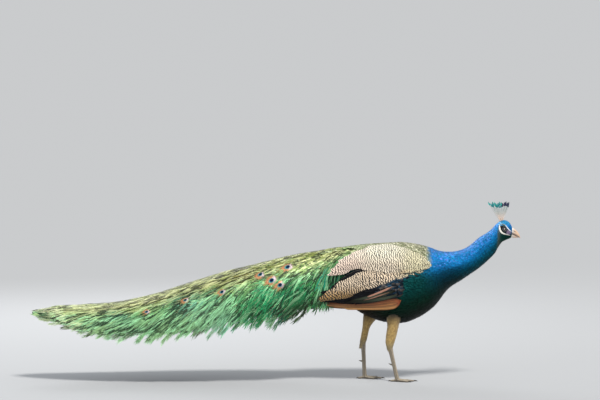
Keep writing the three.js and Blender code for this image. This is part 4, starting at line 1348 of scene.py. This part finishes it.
def shank_tube(hock, ankle, y):
    """A bare shank, with broad scutes in front and small scales behind, and its colours."""
    scute, scale, groove = 0.0009, 0.00035, 0.0006  # how high the scutes and scales are, and the line between
    share, turn = np.linspace(-0.02, 1.03, 150)[:, None], ring(36)[None]
    row = [np.interp(share[:, 0], SHANK_SHAPE[:, 0], half) * MM for half in SHANK_SHAPE[:, 1:].T]
    along, aside = (np.convolve(np.pad(half, 4, "edge"), np.ones(9) / 9, "valid")[:, None] for half in row)
    axis = unit(ankle - hock)
    across = np.array([-axis[1], axis[0]])
    across = across if across[0] > 0 else -across
    front = np.cos(turn)
    step = (share * SCUTES) % 1
    swell = ((step ** 0.6 - 0.75) * scute * smooth(0.1, 0.5, front)
             + scale * np.sin(share * 260) * np.sin(turn * 9) * smooth(0.1, -0.5, front)
             - groove * np.exp(-((front - 0.12) / 0.12) ** 2))
    middle = hock + (ankle - hock) * share
    offset = front * (along + swell)
    points = np.stack([middle[:, :1] + across[0] * offset, y + np.sin(turn) * (aside + swell),
                       np.maximum(middle[:, 1:] + across[1] * offset, 0.0025)], -1)
    light = smooth(0.0, 0.35, step) * smooth(0.0, 0.4, front) + 0.6 * smooth(0.1, -0.2, front)
    return points, mix(LEG_DARK, LEG_TONE, light)


def spur_tube(root, y, inward):
    """The spur on a shank's inner side, pointing back."""
    t, turn = np.linspace(0, 1, 14)[:, None], ring(14)[None]
    thick = SPUR_RADIUS * (1 - t) ** 0.75 + 0.0004
    points = np.stack([root[0] - (0.003 + SPUR_LENGTH * t * 0.9) + 0 * turn,
                       y + inward * (0.001 + 0.009 * t) + thick * np.cos(turn),
                       root[1] + (0.002 + 0.003 * t) * t + thick * np.sin(turn)], -1)
    return points, mix(LEG_TONE, "3b342b", t)


def add_shanks():
    for side, ends in HOCKS.items():
        hock, ankle = np.array(ends) * MM
        y = SIDES[side] * LEG_SPREAD * MM
        points, faces, tint = gathered((
            shank_tube(hock, ankle, y), spur_tube(hock + (ankle - hock) * SPUR_PLACE, y, -SIDES[side])))
        add_piece(f"shank_skin_{side}", points, faces, tint, SCALES, "leg", [f"shank_{side}"])


def closed_tube(form, start, rings, sides, grow, close):
    """A form whose hoops are drawn in to its middle line by close. Grow is given the places and turns."""
    place, turn = np.linspace(start, form.last, rings)[:, None], ring(sides, -math.pi)[None]
    points = form.at(place, turn, grow(place, turn))
    core = points.mean(axis=1, keepdims=True)
    return core + (points - core) * close[:, None, None], place, turn


def toe_tube(length):
    """A toe along +X from its ankle, with scutes on top and small scales under it, and its colours."""
    form = Form([(-6, 15, -6, 3, 6), (8, 14, 4, -1.2, 6.6), (0.4 * length, 10, 0.4 * length, -0.6, 4.8),
                 (0.72 * length, 8.6, 0.72 * length, -0.8, 4.6), (length, 6.5, length, 0.4, 2.9)])
    scute = lambda place: form.at(place, 0 * place)[..., 0] / TOE_SCUTE % 1

    def grow(place, turn):
        ahead, top = form.at(place, 0 * place)[..., 0], upness(turn)
        return ((scute(place) ** 0.6 - 0.8) * 0.0006 * smooth(0.55, 0.8, top)
                + 0.0006 * np.sin(ahead / TOE_SCALE) * smooth(0.55, 0.2, top) - 0.0003)

    close = np.ones(90)
    close[-6:] = np.sqrt(1 - np.linspace(0, 0.96, 6) ** 2)
    close[0] = 0.5
    points, place, turn = closed_tube(form, 0.02, 90, 28, grow, close)
    points[..., 2] = np.maximum(points[..., 2], 0.0)
    return points, mix(LEG_DARK, LEG_TONE, smooth(0, 0.4, scute(place)) * smooth(0.4, 0.7, upness(turn)))


def claw_tube(length, claw):
    s = length + 0.35
    form = Form([(s, 6.6, s, 1.2, 2.4), (s + 0.55 * claw, 5.9, s + 0.5 * claw, 2, 1.6),
                 (s + claw, 1.6, s + claw - 1, 0.9, 0.45)])
    close = np.ones(30)
    close[-1] = 0.15
    points, place, _ = closed_tube(form, 0, 30, 20, lambda place, turn: -0.0001, close)
    points[..., 2] = np.maximum(points[..., 2], 0.0008)
    return points, mix("3a332b", "16130f", smooth(0, 2, place))


def add_feet():
    for side, way in SIDES.items():
        ankle = HOCKS[side][1][0] * MM

        def turned(tube, degrees):
            """A toe or claw made along +X, set at the ankle and turned."""
            points, tint = tube
            a = -math.radians(degrees * way)
            x, y = points[..., 0], points[..., 1]
            return np.stack([ankle + x * math.cos(a) - y * math.sin(a),
                             way * LEG_SPREAD * MM + x * math.sin(a) + y * math.cos(a),
                             points[..., 2]], -1), tint

        foot = gathered(turned(toe_tube(length), degrees) for length, degrees, _ in TOES.values())
        claws = gathered(turned(claw_tube(length, claw), degrees) for length, degrees, claw in TOES.values())
        add_piece(f"foot_skin_{side}", *foot, SCALES, "leg", [f"foot_{side}"])
        add_piece(f"claws_{side}", *claws, HORN, "claw", [f"claw_{name}_{side}" for name in TOES])


# ---------------------------------------------------------------- head

BILL_UPPER = Form([(917, 600, 914, 578, 9.5), (927, 599.5, 926, 575.5, 8.6), (937, 593.5, 936, 571, 7),
                   (947, 584, 945, 566.5, 5), (954.5, 572, 953, 561.5, 3), (958, 560.5, 956.6, 558, 1)])
BILL_LOWER = Form([(913, 576, 912, 563, 8), (925.5, 574.6, 924, 561.5, 7.4), (938, 569.4, 936, 557.5, 5.4),
                   (951, 561.2, 949.5, 554.5, 2)])


def bell(offset, width):
    return np.exp(-(offset / width) ** 2)


def add_bill():
    """The two halves of the bill, each arched over a flat biting side, the lower one nested in the
    upper."""
    horn, cere, dark = tone("d2b298"), tone("d6cdc4"), tone("5a4438")
    rings, arch, flat = 110, 42, 14
    turn = np.concatenate([np.linspace(0, math.pi, arch, endpoint=False),
                           np.linspace(math.pi, TURN, flat, endpoint=False)])[None]
    for form, name, node, way in ((BILL_UPPER, "bill_top", "bill_upper", 1),
                                  (BILL_LOWER, "bill_bottom", "bill_lower", -1)):
        place = np.linspace(0, form.last, rings)[:, None]
        crown, edge, side = (form.at(place[:, 0], angle) for angle in (0, math.pi, QUARTER))
        half = np.abs(side[:, 1])
        if way < 0:
            edge, crown = crown + [0, 0, 0.0009], edge
            crown = crown + (edge - crown) * 0.7 * smooth(1.3, 3.0, place) ** 1.4
            half = half * (1 - 0.35 * smooth(2.2, 3.0, place[:, 0]))
        height = np.where(np.sin(turn) >= 0, np.abs(np.sin(turn)) ** 0.8, 0.07 * np.abs(np.sin(turn)))
        points = edge[:, None] + (crown - edge)[:, None] * height[..., None]
        points = points + np.array([0, 1, 0]) * (half[:, None] * np.cos(turn))[..., None]
        height = height + 0 * place
        x, z = points[..., 0], points[..., 2]
        tint = mix(cere, horn, smooth(0.8, 2.4, place) + 0 * turn)
        grow = 0 * x
        if way > 0:
            # The nostril's slit under its hood, and the ridges where the horn meets the skin.
            slit = np.exp(-(((x - 0.9345) * 0.9 + (z - 0.586) * 0.3) / 0.0034) ** 2
                          - ((z - 0.5855 + (x - 0.9345) * 0.45) / 0.0013) ** 2)
            hood = np.exp(-((x - 0.933) / 0.006) ** 2 - ((z - 0.589 + (x - 0.933) * 0.45) / 0.003) ** 2)
            grow = 0.0009 * hood - 0.0016 * slit + 0.0006 * bell(x - 0.9265, 0.004)
            grow = (grow - 0.0005 * bell(place - 2.1, 0.18)) * smooth(0.1, 0.3, height)
            # The nostril's slit is darkened as painted shade.
            tint = layered(tint, (dark * 0.4, np.clip(slit * 1.2, 0, 0.9)),
                           ("b98d70", smooth(3.2, 5, place) * 0.45 + 0 * turn))
        tint = mix(tint, dark, smooth(0.42, 0.12, height) * (0.75 if way > 0 else 0.45))
        # The flat biting side, shut inside the bill, is darkened as painted shade.
        tint = np.where((np.sin(turn) < 0)[..., None], dark * 0.35, tint)
        core = points.mean(axis=1, keepdims=True)
        points = points + unit(points - core) * grow[..., None]
        close = np.sqrt(np.clip(1 - smooth(form.last - 0.3, form.last, place) ** 2 * 0.97, 0.02, 1))
        add_piece(name, core + (points - core) * close[..., None],
                  grid_faces(rings, arch + flat, wrap=True)[:, ::way], tint, HORN, "bill", [node])


def add_eyes():
    rings, sides, steps = 40, 48, 84
    polar, turn = np.linspace(0.001, math.pi - 0.001, rings)[:, None, None], ring(sides)[None, :, None]
    angle = polar[..., 0] + 0 * turn[..., 0]
    iris = mix("4e2f19", "1f120a", smooth(0.45, 0.8, angle))
    eye_tint = layered("020202", (iris, smooth(0.4, 0.44, angle)), ("0a0806", smooth(0.8, 0.9, angle)))
    bulge = 1 + 0.045 * bell(polar, 0.5)
    # The lids: a low creased rim of dark bare skin that hugs the eye and sinks under the feathers, as
    # hoops in millimetres, reaching out from the eye's middle and standing off the head.
    around = ring(steps)[:, None]
    reach = np.array([4.5, 4.75, 5.0, 5.3, 5.6, 6.0, 6.4, 6.8, 7.3, 7.9, 8.6, 9.4, 10.2])[None] * MM
    stand = np.array([-1.2, 0.1, 0.75, 0.95, 0.9, 0.6, 0.62, 0.35, 0.34, 0.1, 0.0, -0.3, -0.9])[None] * MM
    stand = stand + 0.00006 * np.sin(around * 31) * smooth(0.0046, 0.0055, reach)
    x = np.cos(around) * reach * (1 + 0.12 * np.abs(np.cos(around)))
    z = np.sin(around) * (reach - 0.0005 * np.maximum(np.sin(around), 0) - 0.0002) - 0.2 * x
    lids = BODY.at(*on_side(BODY, EYE[0] + x, EYE[2] + z), stand)
    tint = mix("5f6468", "20252a", smooth(0.0052, 0.0062, reach) + 0 * around)
    # Painted shade: the lids are lighter on their raised rims and darker where they sink into creases and
    # under the feathers.
    tint = tint * (0.85 + 0.3 * (stand / 0.0009))[..., None].clip(0.6, 1.2)
    count = reach.size
    row = np.arange(steps * count).reshape(steps, count)
    last, first = row[-1], row[0]
    seam = np.stack([last[:-1], first[:-1], first[1:], last[1:]], axis=1)
    lid_faces = np.concatenate([grid_faces(steps, count), seam])
    for side, way in SIDES.items():
        out = unit(np.array([0.18, way, 0.06]))
        east = unit(np.cross([0, 0, 1], out))
        north = np.cross(out, east)
        away = out * np.cos(polar) + (east * np.cos(turn) + north * np.sin(turn)) * np.sin(polar)
        add_piece(f"eyeball_{side}", EYE * [1, way, 1] + away * EYE_RADIUS * bulge,
                  grid_faces(rings, sides, wrap=True)[:, ::way], eye_tint, WET, "eye", [f"eye_{side}"])
        add_piece(f"eyelids_{side}", lids * [1, -way, 1], lid_faces[:, ::way], tint, SKIN, "body")


def add_face_patches():
    """The bare white skin over and under each eye, raised a little and finely creased."""
    rows, cols = 70, 13
    t, w = np.linspace(0, 1, rows), np.linspace(-1, 1, cols)
    for name, line, bare in (
        ("brow_skin", BROW_LINE, mix("8d9a92", "cfdae6", smooth(0.3, 0.6, t))),
        ("cheek_skin", CHEEK_LINE, mix(WHITE, "b4b3ab", smooth(0.5, 0.85, t))),
    ):
        fine = spline(line, t * (len(line) - 1))
        ahead = unit(np.gradient(fine[:, :2], axis=0))
        across = np.stack([-ahead[:, 1], ahead[:, 0]], -1)
        half = fine[:, 2] * 1.12 * np.sqrt(np.clip(1 - (2 * t - 1) ** 8, 0.01, 1))
        half = half * (1 + 0.05 * np.sin(31 * t) + 0.04 * np.sin(73 * t))
        flat = fine[:, None, :2] + across[:, None] * (half[:, None] * w)[..., None]
        place, angle = on_side(BODY, flat[..., 0], flat[..., 1])
        crease = 0.00022 * np.sin(46 * t[:, None] + 3 * w * w) * (1 - w * w)
        points = BODY.at(place, angle, 0.0006 * (1 - w * w) ** 0.7 - 0.0009 * np.abs(w) ** 5 + crease)
        tint = mix(bare[:, None], "8f8b84", smooth(0.6, 1.0, np.abs(w)) * 0.6)
        add_pair(name, points, grid_faces(rows, cols), tint, BARE, "bill")


CREST_ROOT = np.array([883.0, 0.0, 627.0]) * MM
CREST_HEIGHT = 76  # in millimetres
CREST_BOW, VANE_LENGTH = 0.0035, 0.0135
CREST_SHAFT, VANE_BARB, SHAFT_BARB = 0.00058, 0.007, 0.0013  # a shaft's radius, and the barbs' lengths
LEANS = np.concatenate([np.linspace(-34, -3, 15), np.linspace(5, 25, 10)])


def add_crest():
    """The crown's fan of thin bare shafts, each ending in a small flat vane."""
    vanes, shafts = Coat(), Coat()
    for i, lean in enumerate(LEANS):
        share = (lean + 34) / 59
        lean = math.radians(lean + RNG.uniform(-1.5, 1.5))
        splay = math.radians((-1) ** i * RNG.uniform(1, 8))
        length = (CREST_HEIGHT / math.cos(lean) ** 0.8 + RNG.uniform(-9, 2)) * MM
        up = unit(np.array([math.sin(lean), math.sin(splay), math.cos(lean)]))
        fan = unit(np.cross(np.array([0, 1, 0]), up))
        side = np.cross(up, fan)
        bow = -CREST_BOW * math.copysign(1, lean)
        t = np.linspace(0, 1, 9)[:, None]
        root = CREST_ROOT + [0.006 * (share - 0.5), 0.0012 * (-1) ** i, -0.004]
        wave = 0.0012 * math.sin(2.4 * i) * np.sin(math.pi * t)
        line = root + up * length * t + fan * (bow * (t * t) + wave)
        thick = CREST_SHAFT * (1 - 0.5 * t)
        hoop = np.linspace(0, TURN, 6)[None]
        out = fan * np.cos(hoop)[..., None] + side * np.sin(hoop)[..., None]
        pale = mix("ecd3c0", "3f7a6c", smooth(0.2, 0.75, t))[:, None] * np.ones((1, 6, 1))
        bake = np.array([[0.03 + 0.036 * i, 0.2]])
        shafts.add(line[:, None] + out * thick[..., None], (9, 6), pale, bake, cell=0.02)
        # Sparse barbs up the shaft and the close vane at its end.
        colour = mix(*(("2fb9ab", "0f7f96") if lean < 0 else ("2c2a58", "4a3358")), RNG.random())
        vane = 1 - VANE_LENGTH / length
        for start in np.concatenate([np.linspace(0.45, vane - 0.04, 4), np.linspace(vane, 0.985, 19)]):
            close = start >= vane
            for way in (-1, 1):
                reach = (VANE_BARB if close else SHAFT_BARB) * RNG.uniform(0.8, 1.15)
                s = np.linspace(0, 1, 4)[:, None]
                spread = 0.95 * (1 - 0.4 * s) * (1.2 - (start - vane) / (1 - vane) if close else 0.6)
                run, rise = (np.cumsum(part(spread), axis=0) / 4 * reach for part in (np.cos, np.sin))
                at = line[0] + up * length * start + fan * (bow * start ** 2)
                barb = (at + up * (run - run[0]) + fan * way * (rise - rise[0])
                        + side * 0.0004 * RNG.uniform(-1, 1) * s)
                wide = (0.0005 if close else 0.00025) * (1 - 0.5 * s)
                tint = np.repeat((colour * (0.75 + 0.5 * s) * RNG.uniform(0.8, 1.25))[:, None], 2, axis=1)
                vanes.add(np.stack([barb - up * wide, barb + up * wide], 1), (4, 2), tint,
                          bake + [[0.0, 0.3 + 0.4 * start]])
    shafts.build("crest_shafts", PLAIN, "crest", ["crest"])
    vanes.build("crest_vanes", GLOSSY, "crest")


# ---------------------------------------------------------------- stage

def aimed(obj, place, aim):
    """Set a lamp or camera at a place, looking at aim."""
    obj.location = place
    obj.rotation_euler = (Vector(aim) - Vector(place)).to_track_quat("-Z", "Y").to_euler()
    return obj


def add_stage():
    """A wide floor, an even backdrop and three soft lights."""
    half, strength, towards = 60.0, 3.2, Vector((-0.32, 0.55, -1.0))
    sky, sun_colour = np.array([0.59, 0.60, 0.61]), np.array([1, 0.965, 0.9])
    mesh = bpy.data.meshes.new("floor")
    corners = ((-1, -1), (1, -1), (1, 1), (-1, 1))
    mesh.from_pydata([(x * half, y * half, 0) for x, y in corners], [], [(0, 1, 2, 3)])
    material, tree = new_material("floor")
    # The floor's tone is the one at which it fades into the backdrop.
    lit = sky + strength * sun_colour * -towards.normalized().z / math.pi
    shader = add_node(tree, "BsdfPrincipled", {"Base Color": (*(sky / lit), 1), "Roughness": 0.95,
                                               "Specular IOR Level": 0.0})
    add_node(tree, "OutputMaterial", {"Surface": shader.outputs[0]})
    mesh.materials.append(material)
    add_object("floor", mesh)

    world = bpy.data.worlds.new("studio")
    bpy.context.scene.world = world
    world.use_nodes = True
    back = world.node_tree.nodes["Background"]
    back.inputs[0].default_value = (*sky, 1)
    back.inputs[1].default_value = 1.0

    sun = bpy.data.lights.new("sun", "SUN")
    sun.energy, sun.angle, sun.color = strength, 0.2, sun_colour
    aimed(add_object("sun", sun), (0, 0, 0), towards)
    for name, place, energy, size, colour in (
        ("fill", (-2.6, -3.0, 1.6), 25, 2.5, (0.85, 0.92, 1)),
        ("rim", (-1.0, 2.8, 2.6), 50, 1.8, (1, 1, 1)),
    ):
        light = bpy.data.lights.new(name, "AREA")
        light.energy, light.size, light.color = energy, size, colour
        aimed(add_object(name, light), place, (0, 0, 0.4))


def add_camera():
    """Square to the bird's right side and a little above it, as far off as the photo's camera."""
    photo_width, pixel, distance, rise = 600, 3.9, 9.0, math.radians(3)
    span, sensor = photo_width * pixel * MM, 36
    aim = Vector((0.095, -0.03, 0.71))
    data = bpy.data.cameras.new("camera")
    data.sensor_width = sensor
    data.lens = sensor * distance / span
    eye = aim + distance * Vector((0, -math.cos(rise), math.sin(rise)))
    bpy.context.scene.camera = aimed(add_object("camera", data), eye, aim)
    view = bpy.context.scene.view_settings
    view.view_transform, view.look, view.exposure = "Standard", "None", 0.0


add_stage()
add_camera()
add_skin()
add_small_feathers()
add_wings()
add_train_bed()
add_train_plumes()
add_strands()
add_eye_spots()
add_ridge_scales()
add_shafts()
add_tail()
add_thigh_feathers()
add_shanks()
add_feet()
add_bill()
add_eyes()
add_face_patches()
add_crest()
